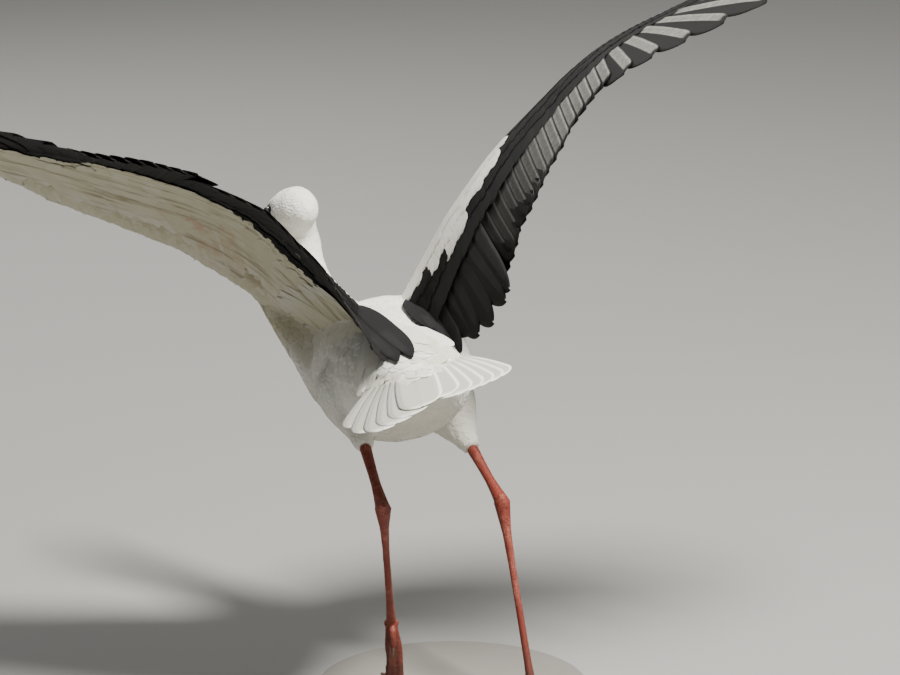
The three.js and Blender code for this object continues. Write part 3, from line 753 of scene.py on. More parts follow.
def face_mask(points):
    """1 on the bare skin round the eye, on the lores and at the throat, in frame metres."""
    forward, left, up = measured(points, HEAD_MIDDLE, HEAD_AXES)
    eye = np.hypot((forward - EYE_PLACE[0] - 1) / 12.5, (up - EYE_PLACE[2] + 0.5) / 8.6)
    lore = np.hypot((forward - 27) / 14, (up - 1.5) / 4.2)
    throat = np.hypot((forward - 34) / 22, left / 7.5)
    side = np.abs(left) > 10
    bare = (side & ((eye < 1) | (lore < 1))) | ((throat < 1) & (up < -12))
    return bare & (np.abs(forward) < 48)


def head_shape():
    """The head under its feathers, with brow, cheeks and sockets, and rings of lid."""
    along = np.linspace(HEAD_ALONG[0], HEAD_ALONG[-1] + 3, 26)
    halves, tops, bottoms = (np.interp(along, HEAD_ALONG, values)
                             for values in (HEAD_HALF, HEAD_TOP, HEAD_BOTTOM))
    depth = coat_settings().head_depth / MM
    centres = [head_point(a, 0, (t + b) / 2) for a, t, b in zip(along, tops, bottoms)]
    heights = (tops - bottoms) / 2 - depth
    rings = oval_rings(centres, HEAD_AXES[1], HEAD_AXES[2], halves - depth, heights, heights, 32)
    shape = lofted([in_frame(ring) for ring in rings])
    for vert in shape.verts:
        forward, left, up = measured(np.array(vert.co), HEAD_MIDDLE, HEAD_AXES)
        relief = sum(
            height * math.exp(-((forward - ahead) / run) ** 2 - ((up - above) / rise) ** 2)
            for height, ahead, above, run, rise in HEAD_RELIEF)
        outward = relief * max(-1, min(1, left / 8))
        vert.co += Vector(HEAD_AXES[1] * outward * MM)
    return shape


def eye_middle(side):
    return head_point(EYE_PLACE[0], side * EYE_PLACE[1], EYE_PLACE[2])


def set_in_socket(shape, side):
    """Turns a shape made round +Z in millimetres to one eye's gaze, and puts it in place."""
    gaze = unit(HEAD_AXES[1] * side + HEAD_AXES[0] * 0.22 + HEAD_AXES[2] * 0.05)
    turn = Vector(gaze).to_track_quat("Z", "Y").to_matrix().to_4x4()
    bmesh.ops.transform(shape, matrix=turn, verts=shape.verts[:])
    for vert in shape.verts:
        vert.co = in_frame(np.array(vert.co) + eye_middle(side))


def lid_shape(side):
    """A soft ring of lid round one eye."""
    shape = bmesh.new()
    ring = bmesh.ops.create_circle(shape, segments=12, radius=1.55)
    for vert in ring["verts"]:
        vert.co = Vector((vert.co.x + 6.35, 0, vert.co.y * 1.2 + 4.0))
    bmesh.ops.spin(
        shape, geom=shape.verts[:] + shape.edges[:], cent=(0, 0, 0), axis=(0, 0, 1),
        angle=2 * math.pi, steps=36, use_merge=True)
    bmesh.ops.recalc_face_normals(shape, faces=shape.faces[:])
    for vert in shape.verts:
        vert.co.y *= 0.9
    set_in_socket(shape, side)
    return shape


def toe_points(leg, turn, length):
    """A toe's line: down from the ball of the foot and flat along the floor, or hanging."""
    ball = np.array(leg["ball"], float)
    spread = 1 if turn > 90 else leg["spread"]
    angle = math.radians(TOE_YAW + leg["side"] * turn * spread)
    heading = np.array([math.sin(angle), -math.cos(angle), 0])
    drop = ball[2] - TOE_HEIGHT
    if turn > 90 and drop > length:
        knuckle = ball + heading * 9 + [0, 0, -8]
        return np.array([ball, knuckle, knuckle + heading * 2 + [0, 0, 10 - length]])
    knuckle = ball + heading * drop / math.tan(math.radians(leg["toe_slope"]))
    knuckle[2] = TOE_HEIGHT
    flat = max(length - np.linalg.norm(ball - knuckle), 12)
    return np.array([ball, knuckle, knuckle + heading * flat])


def blob(place, size, stretch, turn=None):
    """A small rounded lump in stance millimetres."""
    shape = bmesh.new()
    bmesh.ops.create_icosphere(shape, subdivisions=3, radius=size * MM)
    bmesh.ops.scale(shape, vec=stretch, verts=shape.verts[:])
    if turn is not None:
        bmesh.ops.transform(shape, matrix=turn.to_4x4(), verts=shape.verts[:])
    bmesh.ops.translate(shape, vec=in_frame(place), verts=shape.verts[:])
    return shape


def leg_shapes(name):
    """Shank, joint, tarsus and toes, with their knuckles and pads."""
    leg = LEGS[name]
    shapes = [swollen(merged_copy(node.format(name)), 0.35 * MM) for node in BARE_LEG]
    ankle, ball = np.array(leg["ankle"], float), np.array(leg["ball"], float)
    shin = unit(ankle - ball)
    down = Vector(shin).to_track_quat("Z", "Y").to_matrix()
    shapes.append(blob(ankle - shin * 3, 9.4, (0.86, 1.0, 1.25), down))
    shapes.append(blob(ankle + [0, 3.2, 2], 6.2, (0.9, 1, 1.3), down))
    shapes.append(blob(ankle - shin * 14 + [0, 1.5, 0], 5.4, (0.9, 1, 1.9), down))
    shapes.append(blob(ball, 7.6, (1.1, 1.0, 0.85)))
    for turn, length in TOES.values():
        corners = toe_points(leg, turn, length)
        for share in (0.42, 0.68, 0.9):
            pad = along_line(corners, share) + [0, 0, 0.3]
            shapes.append(blob(pad, 4.7 - 1.2 * share, (1, 1.0, 0.82)))
    if leg["toe_slope"] > 60:
        shapes.extend(drooping_pads(leg))
    return shapes


def drooping_pads(leg):
    """The thick soles of toes that hang bunched from a lifted foot."""
    pads = []
    for toe, aside in SOLE_ASIDE.items():
        corners = toe_points(leg, *TOES[toe])
        for share in np.linspace(SOLE_SHARES[0], SOLE_SHARES[-1], 12):
            apart, lean, size = (np.interp(share, SOLE_SHARES, run) for run in SOLE_RUNS)
            place = along_line(corners, share) + [aside * apart + lean, 0, 0]
            pads.append(blob(place, size, (0.95, 0.9, 1.2)))
    return pads


def along_line(corners, share):
    """The place, or places, at a share of a bent line's length."""
    steps = np.concatenate([[0], np.cumsum(np.linalg.norm(np.diff(corners, axis=0), axis=1))])
    return np.array([np.interp(share * steps[-1], steps, along) for along in corners.T]).T


def tree_of(places):
    """A tree in which the nearest of the places is found."""
    tree = KDTree(len(places))
    for number, place in enumerate(places):
        tree.insert(place, number)
    tree.balance()
    return tree


class Lie:
    """What the coat does at any place of the feathered skin."""

    def __init__(self):
        graph = bpy.context.evaluated_depsgraph_get()
        nodes = FRAME["nodes"]
        self.trees = {
            region: [BVHTree.FromObject(nodes[node], graph) for node in members]
            for region, members in FLESH.items()}
        self.neck = in_frame(smooth_line(TRUNK_CENTRE + np.array(NECK_LINE), 60))
        self.plans = {name: self.plan_tree(wing) for name, wing in WINGS.items()}

    @staticmethod
    def plan_tree(wing):
        """Places on both sides of a wing's front, to look up their plan coordinates."""
        grid = np.meshgrid(np.arange(-45, 545, 4), np.arange(-44, 118, 4), [1, -1], indexing="ij")
        plan = np.stack([values.ravel() for values in grid], -1).astype(float)
        x, y, _ = plan.T
        plan = plan[(y >= station(LEADING_EDGE, x)) & (y <= station(COVERT_EDGE, x) + 3)]
        x, y, side = plan.T
        return tree_of(in_frame(wing.place(x, y, wing.cover(x, y, side)))), plan

    def distances(self, points):
        """Distance from each point to each region, in millimetres."""
        result = np.zeros((len(points), len(self.trees)))
        for column, trees in enumerate(self.trees.values()):
            for row, point in enumerate(points):
                place = Vector(point)
                result[row, column] = min(tree.find_nearest(place)[3] for tree in trees)
        return result / MM

    def plan_places(self, points, wing):
        """Plan coordinates of points on a wing's front."""
        tree, places = self.plans[wing]
        return places[[tree.find(Vector(point))[1] for point in points]]

    def ways(self, points, plans):
        """The way the feathers lie in each region, as unit vectors."""
        forward, _, up = TRUNK_AXES
        count = len(points)
        fields = {"trunk": np.tile(-forward - up * 0.08, (count, 1))}
        gaps = points[:, None, :] - self.neck[None]
        nearest = np.argmin((gaps ** 2).sum(-1), 1)
        fields["neck"] = -np.gradient(self.neck, axis=0)[nearest]
        fields["head"] = np.tile(-HEAD_AXES[0] - HEAD_AXES[2] * 0.25, (count, 1))
        for side, leg in LEGS.items():
            fall = np.array(leg["feather_end"], float) - np.array(leg["knee"], float)
            fields[f"thigh_{side}"] = np.tile(fall, (count, 1))
        for side, wing in WINGS.items():
            x, y = plans[side][:, :2].T
            here = wing.place(x, y, wing.camber(x, y))
            lean = np.interp(x, [0, 200, 520], [-0.1, 0.35, 1.1])
            there = wing.place(x + lean, y + 1, wing.camber(x, y + 1))
            fields[f"wing_{side}"] = there - here
        return {region: unit(field) for region, field in fields.items()}


REGIONS = list(FLESH)


class Skin:
    """The finished skin's arrays, kept for the operators that lay feathers on it."""

    lie = tree = head_tree = head_mesh = None
    points = normals = triangles = weights = ways = depth = tone = cream = pink = plans = None


def coat_depths():
    """The coat's depth in each region, in the regions' order."""
    coat = coat_settings()
    return np.array([getattr(coat, region.split("_")[0] + "_depth") for region in REGIONS])


def smoothed(values, triangles, rounds):
    """Evens values over a mesh by averaging neighbours."""
    edges = np.concatenate([triangles[:, [0, 1]], triangles[:, [1, 2]], triangles[:, [2, 0]]])
    counts = np.bincount(edges.ravel(), minlength=len(values)).astype(float)
    for _ in range(rounds):
        total = np.zeros_like(values)
        for column in range(values.shape[1]):
            total[:, column] = (
                np.bincount(edges[:, 0], values[edges[:, 1], column], minlength=len(values))
                + np.bincount(edges[:, 1], values[edges[:, 0], column], minlength=len(values)))
        values = (values + total) / (1 + counts[:, None])
    return values


def web(places, radii):
    """The flesh that spans a few round places."""
    shape = bmesh.new()
    for place, radius in zip(places, radii):
        ball = bmesh.ops.create_icosphere(shape, subdivisions=2, radius=radius * MM)
        bmesh.ops.translate(shape, vec=in_frame(place), verts=ball["verts"])
    bmesh.ops.delete(shape, geom=shape.edges[:], context="EDGES_FACES")
    bmesh.ops.convex_hull(shape, input=shape.verts[:])
    loose = [vert for vert in shape.verts if not vert.link_faces]
    bmesh.ops.delete(shape, geom=loose, context="VERTS")
    return shape


def wing_webs():
    """Flesh where the wings' fronts run into the breast and the back."""
    forward, left, up = TRUNK_AXES
    webs = []
    for name, reach in (("left", 96), ("right", 60)):
        wing = WINGS[name]
        front = station(LEADING_EDGE, reach) + 6
        flank = TRUNK_CENTRE + forward * 74 + left * wing.side * 79 - up * 22
        inner = TRUNK_CENTRE + forward * 84 + left * wing.side * 40 + up * 20
        corners = [wing.place(x, y, wing.camber(x, y)) for x, y in ((reach, front), (10, -20))]
        webs.append(web([*corners, flank, inner, flank - forward * 40], [5, 12, 12, 14, 9]))
    return webs


def feathered_shell():
    """The union of the flesh, before it is drawn in by the coat's depth."""
    shapes = [swollen(merged_copy(node), 0.4 * MM) for nodes in FLESH.values() for node in nodes]
    shapes += wing_webs()
    return shell_of(shapes, *BODY_SHELL, "shell")


def draw_in(mesh):
    """Moves the shell in by the coat's depth and keeps what the coat needs to know."""
    points, normals, triangles = mesh_arrays(mesh)
    lie = Lie()
    distances = lie.distances(points)
    weights = np.exp(-(distances - distances.min(1, keepdims=True)) / REGION_BLEND)
    weights /= weights.sum(1, keepdims=True)
    weights = smoothed(weights, triangles, WEIGHT_ROUNDS)
    plans = {side: lie.plan_places(points, side) for side in WINGS}
    depth = weights @ coat_depths()
    depth += HEAD_STEP * MM * np.clip(weights[:, REGIONS.index("head")] * 3 - 2, 0, 1)
    tone = np.zeros(len(points))
    for side, wing in WINGS.items():
        x, y, face = plans[side].T
        share = weights[:, REGIONS.index(f"wing_{side}")]
        thin = 0.3 * wing.thickness(x, y) * MM
        depth = np.where(share > 0.6, np.minimum(depth, thin), depth)
        black = np.where(face > 0, wing.blackness(x, y, 1), wing.blackness(x, y, -1))
        tone = np.where(share > 0.5, black, tone)
    ways = lie.ways(points, plans)
    way = sum(weights[:, [number]] * ways[region] for number, region in enumerate(REGIONS))
    way = smoothed(way, triangles, WAY_ROUNDS)
    way = unit(way - normals * dot(way, normals)[:, None])
    points = points - normals * depth[:, None]
    mesh.vertices.foreach_set("co", points.ravel())
    mesh.update()
    Skin.lie, Skin.triangles, Skin.weights, Skin.ways = lie, triangles, weights, way
    Skin.points, Skin.normals = mesh_arrays(mesh)[:2]
    Skin.depth, Skin.tone, Skin.plans = depth, tone, plans
    Skin.cream, Skin.pink = stained(plans, weights)


def stained(plans, weights):
    """How cream and how pink the white plumage is at every point of the skin; the cream on the wings'
    under side is painted shade.
    """
    forward, _, up = trunk_places()
    low = np.clip((10 - up) / 50, 0, 1) * 0.3
    rear = np.clip((-70 - forward) / 80, 0, 1) * 0.35
    trunk = weights[:, REGIONS.index("trunk")] + region_share("thigh_left", "thigh_right") * 0.4
    cream = np.clip(low + rear, 0, 0.55) * trunk
    pink = np.zeros(len(cream))
    for side in WINGS:
        x, y, face = plans[side].T
        share = weights[:, REGIONS.index(f"wing_{side}")] * (face < 0)
        # Cream on the wings' under side is painted shade.
        cream = np.maximum(cream, share * 0.68)
        streak = 0.5 + 0.5 * np.sin(x * 0.11 + y * 0.23) * np.sin(x * 0.047 - y * 0.31)
        pink = np.maximum(pink, share * worn_patch(x, y, 20) * streak * 0.8)
    return cream, pink


def tail_sheet():
    """Corners of the tail's fan, so that the coverts at its root lie over it."""
    shape = merged_copy("tail_feathers")
    shape.verts.index_update()
    points = [vert.co.copy() for vert in shape.verts]
    faces = [[vert.index for vert in face.verts] for face in shape.faces]
    shape.free()
    return points, faces


def make_skin():
    """One skin over body, neck, head, wings' fronts and legs, kept for the coats to lie on."""
    body = feathered_shell()
    draw_in(body)
    head = shell_of([head_shape(), lid_shape(1), lid_shape(-1)], *HEAD_SHELL, "head shell")
    legs = shell_of(leg_shapes("left") + leg_shapes("right"), *LEG_SHELL, "leg shell")
    joined = bmesh.new()
    bares, faces = [], []
    for part, bare in ((body, FEATHERED), (head, FEATHERED), (legs, BARE)):
        points = mesh_arrays(part)[0]
        bares.append(np.full(len(points), bare))
        faces.append(face_mask(points))
        joined.from_mesh(part)
    mesh = bpy.data.meshes.new("skin")
    joined.to_mesh(mesh)
    joined.free()
    set_attribute(mesh, "bare", np.concatenate(bares))
    set_attribute(mesh, "face", np.concatenate(faces))
    set_attribute(mesh, "shade", np.full(len(mesh.vertices), 0.5))
    rest = np.zeros(len(mesh.vertices) - len(Skin.tone))
    for trait in ("tone", "cream", "pink"):
        set_attribute(mesh, trait, np.concatenate([getattr(Skin, trait), rest]))
    sheet_points, sheet_faces = tail_sheet()
    body_points = [Vector(point) for point in Skin.points]
    body_faces = [[int(corner) for corner in face] for face in Skin.triangles]
    shifted = [[corner + len(body_points) for corner in face] for face in sheet_faces]
    Skin.tree = BVHTree.FromPolygons(body_points + sheet_points, body_faces + shifted)
    Skin.head_tree = BVHTree.FromPolygons(
        [vert.co for vert in head.vertices], [list(face.vertices) for face in head.polygons])
    Skin.head_mesh = head
    piece = link_object("skin", mesh)
    nodes = [node for members in FLESH.values() for node in members]
    nodes += [node.format(side) for side in LEGS for node in BARE_LEG]
    finish_piece(piece, painted("skin", paint_skin), "leg_skin", *nodes)


# ---- laying small feathers

TRIES = 5                       # places drawn for each that has room
PACKING = 0.86                  # nearest distance as a share of the spacing
DISORDER = 0.06                 # how far feathers turn from the lie, in radians
COAT_CUP = 0.28                 # how much lower a feather's edges lie, as a share of its height
OUTER_PART = 0.4                # how far out a feather starts to bend round the surface
LENGTH_SPREAD = (0.85, 1.15)    # how neighbours differ
WIDTH_SPREAD = (0.9, 1.1)
RISE_SPREAD = (0.93, 1.0)
MAP_MARGIN = 0.03


def scattered(points, triangles, spacing, draws, allowed):
    """Evenly spread places on a mesh: triangle, weights of its corners."""
    corners = points[triangles]
    sides = corners[:, 1:] - corners[:, :1]
    area = np.linalg.norm(np.cross(sides[:, 0], sides[:, 1]), axis=1) / 2
    room = spacing[triangles].mean(1) ** 2
    likely = area / room * allowed[triangles].all(1)
    count = int(likely.sum() * TRIES)
    chosen = draws.choice(len(triangles), count, p=likely / likely.sum())
    shares = draws.random((count, 2))
    over = shares.sum(1) > 1
    shares[over] = 1 - shares[over]
    weights = np.concatenate([1 - shares.sum(1, keepdims=True), shares], 1)
    places = (corners[chosen] * weights[:, :, None]).sum(1)
    gap = (spacing[triangles[chosen]] * weights).sum(1) * PACKING
    tree = tree_of(places)
    dropped = np.zeros(count, bool)
    kept = []
    for number in range(count):
        if dropped[number]:
            continue
        kept.append(number)
        for _, other, _ in tree.find_range(places[number], gap[number]):
            dropped[other] = True
    return chosen[kept], weights[kept]


def read_at(values, triangles, chosen, weights):
    """Values per vertex read at scattered places."""
    picked = np.asarray(values, float)[triangles[chosen]]
    if picked.ndim == 2:
        return (picked * weights).sum(1)
    return (picked * weights[:, :, None]).sum(1)


def laid_vanes(tree, vane, places, normals, ways, length, half, low, high, cup):
    """Feathers whose middle lines walk over a surface and whose sides bend round it.

    All lengths are metres; low and high are the heights of root and tip over the surface.
    The result is in stance millimetres.
    """
    rows = np.unique(np.round(vane.along, 6))
    row_of = np.searchsorted(rows, np.round(vane.along, 6))
    widths = rounded(rows)
    result = np.zeros((len(places), len(vane.along), 3))
    for number in range(len(places)):
        point, normal = Vector(places[number]), Vector(normals[number])
        way = Vector(ways[number])
        line = []
        before = 0.0
        for share in rows:
            if share > 0:
                step = point + way * (length[number] * (share - before))
                found = tree.find_nearest(step)
                point, normal = found[0], (normal + found[1]).normalized()
                way = (way - normal * way.dot(normal)).normalized()
                before = share
            line.append((point.copy(), normal.copy(), normal.cross(way)))
        for corner, row in enumerate(row_of):
            middle, upright, side = line[row]
            across = vane.across[corner]
            place = middle + side * (across * half[number] * widths[row])
            if abs(across) > OUTER_PART:
                place = tree.find_nearest(place)[0]
            rise = low[number] + (high[number] - low[number]) * rows[row]
            rise -= cup * rise * across * across
            notch = way * (vane.fringe[corner] * length[number])
            result[number, corner] = place + upright * rise
            result[number, corner] -= notch
    return (result - ORIGIN) / MM


def turned_ways(ways, normals, draws, amount):
    """The lie with a little disorder, in radians."""
    angle = draws.normal(0, amount, len(ways))[:, None]
    return unit(ways * np.cos(angle) + np.cross(normals, ways) * np.sin(angle))


def round_map(aside, up, share):
    """An unwrap of the coat that runs round a part across, and along it upward."""
    turn = np.arctan2(aside, up) / (2 * math.pi) + 0.5
    return MAP_MARGIN + (1 - 2 * MAP_MARGIN) * np.stack([turn, share], -1)


def body_map(places):
    """The unwrap of trunk and thighs."""
    forward, left, up = measured(places, TRUNK_CENTRE, TRUNK_AXES)
    return round_map(left, up, (forward + 260) / 540)


def neck_map(places):
    """The unwrap of the neck, round and along its bent middle line."""
    line = Skin.lie.neck
    gaps = places[:, None, :] - line[None]
    nearest = np.argmin((gaps ** 2).sum(-1), 1)
    way = unit(np.gradient(line, axis=0))[nearest]
    side = unit(np.cross(way, HEAD_AXES[2]))
    radial = gaps[np.arange(len(places)), nearest]
    return round_map(dot(radial, side), dot(radial, np.cross(way, side)), nearest / len(line))


def head_map(places):
    """The unwrap of the head."""
    forward, left, up = measured(places, HEAD_MIDDLE, HEAD_AXES)
    return round_map(left, up, (forward + 60) / 120)


def trunk_places():
    """Every skin point measured forward, left and up from the trunk's middle."""
    return measured(Skin.points, TRUNK_CENTRE, TRUNK_AXES)


def near_head(reach):
    """Where the skin lies close under the head's own finer skin."""
    gaps = [Skin.head_tree.find_nearest(Vector(point))[3] for point in Skin.points]
    return np.array(gaps) / MM < reach


def coat_places():
    """Where on the skin the feathers of each coat may root."""
    forward, _, up = trunk_places()
    level = Skin.normals[:, 2]
    return {
        "trunk_coat": (forward > -168) | (up < 45),
        "neck_coat": ~near_head(7),
        "neck_plumes": (forward > 100) & (forward < 215) & (up < 30) & (level < 0.35),
        "mantle_coat": (forward > -95) & (forward < 110) & (up > 38),
        "rump_coat": (forward < -90) & (forward > -148) & (up > 40),
        "tail_coverts": (forward < -100) & (level < 0.3),
    }


def region_share(*names):
    """How much each skin point belongs to some regions."""
    return Skin.weights[:, [REGIONS.index(name) for name in names]].sum(1)


def region_coat(name, regions, spacing, size, relief, unwrap, keep, plan=None):
    """Lays one region's feathers.

    size gives length and half width as multiples of spacing, relief the heights of root and
    tip as shares of the coat's depth, keep where on the skin the feathers may root, and plan
    every skin point's place in a wing's plan.
    """
    draws = draws_from(len(name) * 7)
    allowed = region_share(*regions) >= 0.5
    if keep is not None:
        allowed &= keep
    gaps = np.full(len(Skin.points), spacing)
    chosen, weights = scattered(Skin.points, Skin.triangles, gaps, draws, allowed)

    def read(values):
        return read_at(values, Skin.triangles, chosen, weights)

    places, depth, gap = read(Skin.points), read(Skin.depth), read(gaps)
    normals = unit(read(Skin.normals))
    ways = turned_ways(unit(read(Skin.ways)), normals, draws, DISORDER)
    length = gap * size[0] * draws.uniform(*LENGTH_SPREAD, len(gap))
    half = gap * size[1] * draws.uniform(*WIDTH_SPREAD, len(gap))
    low = depth * relief[0]
    high = depth * relief[1] * draws.uniform(*RISE_SPREAD, len(gap))
    points = laid_vanes(
        Skin.tree, SMALL_VANE, places, normals, ways, length, half, low, high, COAT_CUP)
    tone = read(Skin.tone)
    traits = {
        "tone": (tone > 0.5).astype(float), "shade": draws.random(len(gap)),
        "cream": read(Skin.cream) * draws.uniform(0.9, 1.1, len(gap)),
        "pink": read(Skin.pink) * draws.uniform(0.5, 1.0, len(gap))}
    if plan is not None:
        x, y, face = (read(values) for values in plan.T)
        # rows marks the under coverts that get streaks of painted shade.
        behind_edge = np.clip((y - station(LEADING_EDGE, x) - 8) / 20, 0, 1)
        off_body = np.clip((x - 30) / 60, 0, 1)
        traits.update(rows=(face < 0) * behind_edge * off_body, span=x, chord=y)
    piece = feather_piece(name, SMALL_VANE, points, unwrap(places), traits)
    finish_piece(piece, plumage_material(0.0 if tone.any() else SOFT_SHEEN), "plumage_white")


def make_body_coat():
    """The small feathers of trunk, neck and thighs, and the long ones of breast and back."""
    coat = coat_settings()
    trunk, neck, thighs = ["trunk"], ["neck", "head"], ["thigh_left", "thigh_right"]
    places = coat_places()
    rows = [
        ("trunk_coat", trunk, coat.trunk_spacing, (5.2, 1.45), (0.28, 0.85), body_map),
        ("neck_coat", neck, coat.neck_spacing, (4.8, 1.3), (0.28, 0.88), neck_map),
        ("thigh_coat", thighs, coat.thigh_spacing, (5.0, 1.3), (0.3, 0.95), body_map),
        ("neck_plumes", neck, PLUME_SPACING, (5.6, 0.85), (0.4, 1.25), neck_map),
        ("mantle_coat", trunk, MANTLE_SPACING, (4.8, 1.2), (0.5, 1.1), body_map),
        ("rump_coat", trunk, RUMP_SPACING, (5.4, 1.35), (0.5, 0.9), body_map),
        ("tail_coverts", trunk, VENT_SPACING, (6.0, 1.3), (0.5, 1.1), body_map),
    ]
    for row in rows:
        region_coat(*row, keep=places.get(row[0]))


def make_wing_coat(side):
    """The lesser coverts on the front of one wing."""
    plan = Skin.plans[side]
    near = plan[:, 1] < station(COVERT_EDGE, plan[:, 0]) - 26

    def unwrap(places):
        x, y, face = Skin.lie.plan_places(places, side).T
        return plan_map(x, y, face < 0)

    region_coat(f"{side}_wing_coat", [f"wing_{side}"], coat_settings().wing_spacing, (3.2, 1.0),
                (0.5, 0.9), unwrap, near, plan)


# ---- material helpers

class Shader:
    """A node tree with short ways to add and join nodes."""

    def __init__(self, tree):
        self.tree = tree

    def node(self, kind, inputs=None, **settings):
        made = self.tree.nodes.new(kind)
        for key, value in settings.items():
            setattr(made, key, value)
        for key, value in (inputs or {}).items():
            self.feed(made.inputs[key], value)
        return made

    def feed(self, socket, value):
        if isinstance(value, bpy.types.NodeSocket):
            self.tree.links.new(value, socket)
        elif hasattr(value, "__len__") and socket.type == "RGBA" and len(value) == 3:
            socket.default_value = (*value, 1)
        else:
            socket.default_value = value

    def maths(self, operation, a, b=0.0):
        return self.node("ShaderNodeMath", {0: a, 1: b}, operation=operation).outputs[0]

    def times(self, a, b):
        return self.maths("MULTIPLY", a, b)

    def plus(self, a, b):
        return self.maths("ADD", a, b)

    def blend(self, share, a, b):
        """a where share is 0, b where it is 1."""
        return self.node("ShaderNodeMix", {0: share, 6: a, 7: b}, data_type="RGBA").outputs[2]

    def between(self, value, low, high, out_low=0.0, out_high=1.0):
        """A smooth step of the value from low to high."""
        made = self.node("ShaderNodeMapRange", {0: value, 1: low, 2: high, 3: out_low, 4: out_high})
        made.interpolation_type = "SMOOTHSTEP"
        return made.outputs[0]

    def trait(self, name):
        """A piece's own attribute."""
        return self.node("ShaderNodeAttribute", attribute_name=name).outputs["Fac"]

    def noise(self, vector, scale, detail=3.0, roughness=0.55):
        inputs = {"Vector": vector, "Scale": scale, "Detail": detail, "Roughness": roughness}
        return self.node("ShaderNodeTexNoise", inputs).outputs["Fac"]

    def place(self):
        return self.node("ShaderNodeTexCoord").outputs["Object"]

    def split(self, vector):
        return self.node("ShaderNodeSeparateXYZ", {0: vector}).outputs

    def joined(self, *values):
        return self.node("ShaderNodeCombineXYZ", dict(enumerate(values))).outputs[0]

    def barbs(self, count):
        """A vane's own map, and the barb group's outputs for so many barbs."""
        vane = self.node("ShaderNodeUVMap", uv_map="Vane").outputs[0]
        inputs = {"Vane": vane, "Barbs": count}
        return vane, self.node("ShaderNodeGroup", inputs, node_tree=group(*BARB_GROUP)).outputs

    def stain(self, place, scale, amount):
        """The stain group's mask."""
        inputs = {"Place": place, "Scale": scale, "Amount": amount}
        return self.node("ShaderNodeGroup", inputs, node_tree=group(*STAIN_GROUP)).outputs["Mask"]


def group(name, inputs, outputs, build):
    """The shader group of that name with named sockets, built when it is first asked for."""
    if name not in bpy.data.node_groups:
        tree = bpy.data.node_groups.new(name, "ShaderNodeTree")
        for label, kind, default in inputs:
            socket = tree.interface.new_socket(label, in_out="INPUT", socket_type=kind)
            if default is not None:
                socket.default_value = default
        for label in outputs:
            tree.interface.new_socket(label, in_out="OUTPUT", socket_type=FLOAT)
        shader = Shader(tree)
        made = build(shader, shader.node("NodeGroupInput").outputs)
        shader.node("NodeGroupOutput", dict(zip(outputs, made)))
    return bpy.data.node_groups[name]


FLOAT, VECTOR = "NodeSocketFloat", "NodeSocketVector"


def build_barbs(shader, given):
    """Barbs that slant from the shaft, the shaft itself and the edge of the vane."""
    across, along, _ = shader.split(given["Vane"])
    under = shader.maths("LESS_THAN", across, -0.4)
    across = shader.plus(across, shader.times(under, 2.0))
    aside = shader.maths("ABSOLUTE", shader.maths("SUBTRACT", across, 0.5))
    slant = shader.times(aside, given["Slant"])
    count = shader.times(shader.maths("SUBTRACT", along, slant), given["Barbs"])
    wave = shader.maths("SINE", shader.times(count, 2 * math.pi))
    uneven = shader.between(shader.noise(given["Vane"], 9.0), 0.3, 0.7, 0.25, 0.5)
    height = shader.times(shader.plus(wave, 1.0), uneven)
    shaft = shader.between(aside, 0.035, 0.015)
    return height, shaft, shader.between(aside, 0.36, 0.5), along


def build_stain(shader, given):
    """Uneven dirt and wear over a surface."""
    wide = shader.between(shader.noise(given["Place"], given["Scale"], 5.0, 0.6), 0.42, 0.72)
    fine = shader.noise(given["Place"], shader.times(given["Scale"], 7.0))
    both = shader.times(wide, shader.between(fine, 0.3, 0.65))
    return [shader.times(both, given["Amount"])]


BARB_GROUP = (
    "Feather barbs", [("Vane", VECTOR, None), ("Barbs", FLOAT, 60.0), ("Slant", FLOAT, 0.5)],
    ["Height", "Shaft", "Edge", "Along"], build_barbs)
STAIN_GROUP = (
    "Stain", [("Place", VECTOR, None), ("Scale", FLOAT, 14.0), ("Amount", FLOAT, 0.4)],
    ["Mask"], build_stain)


def painted(name, paint, *values):
    """The material of that name, painted when it is first asked for."""
    if name not in bpy.data.materials:
        material = bpy.data.materials.new(name)
        material.use_nodes = True
        material.node_tree.nodes.clear()
        paint(Shader(material.node_tree), *values)
    return bpy.data.materials[name]


def principled(shader, colour, roughness, normal=None, **constants):
    """The surface itself; constants are set on its own sockets."""
    made = shader.node("ShaderNodeBsdfPrincipled", {"Base Color": colour, "Roughness": roughness})
    if normal is not None:
        shader.feed(made.inputs["Normal"], normal)
    for label, value in constants.items():
        made.inputs[label.replace("_", " ")].default_value = value
    shader.node("ShaderNodeOutputMaterial", {"Surface": made.outputs[0]})


def bump(shader, height, strength, distance):
    inputs = {"Height": height, "Strength": strength, "Distance": distance * MM}
    return shader.node("ShaderNodeBump", inputs).outputs[0]


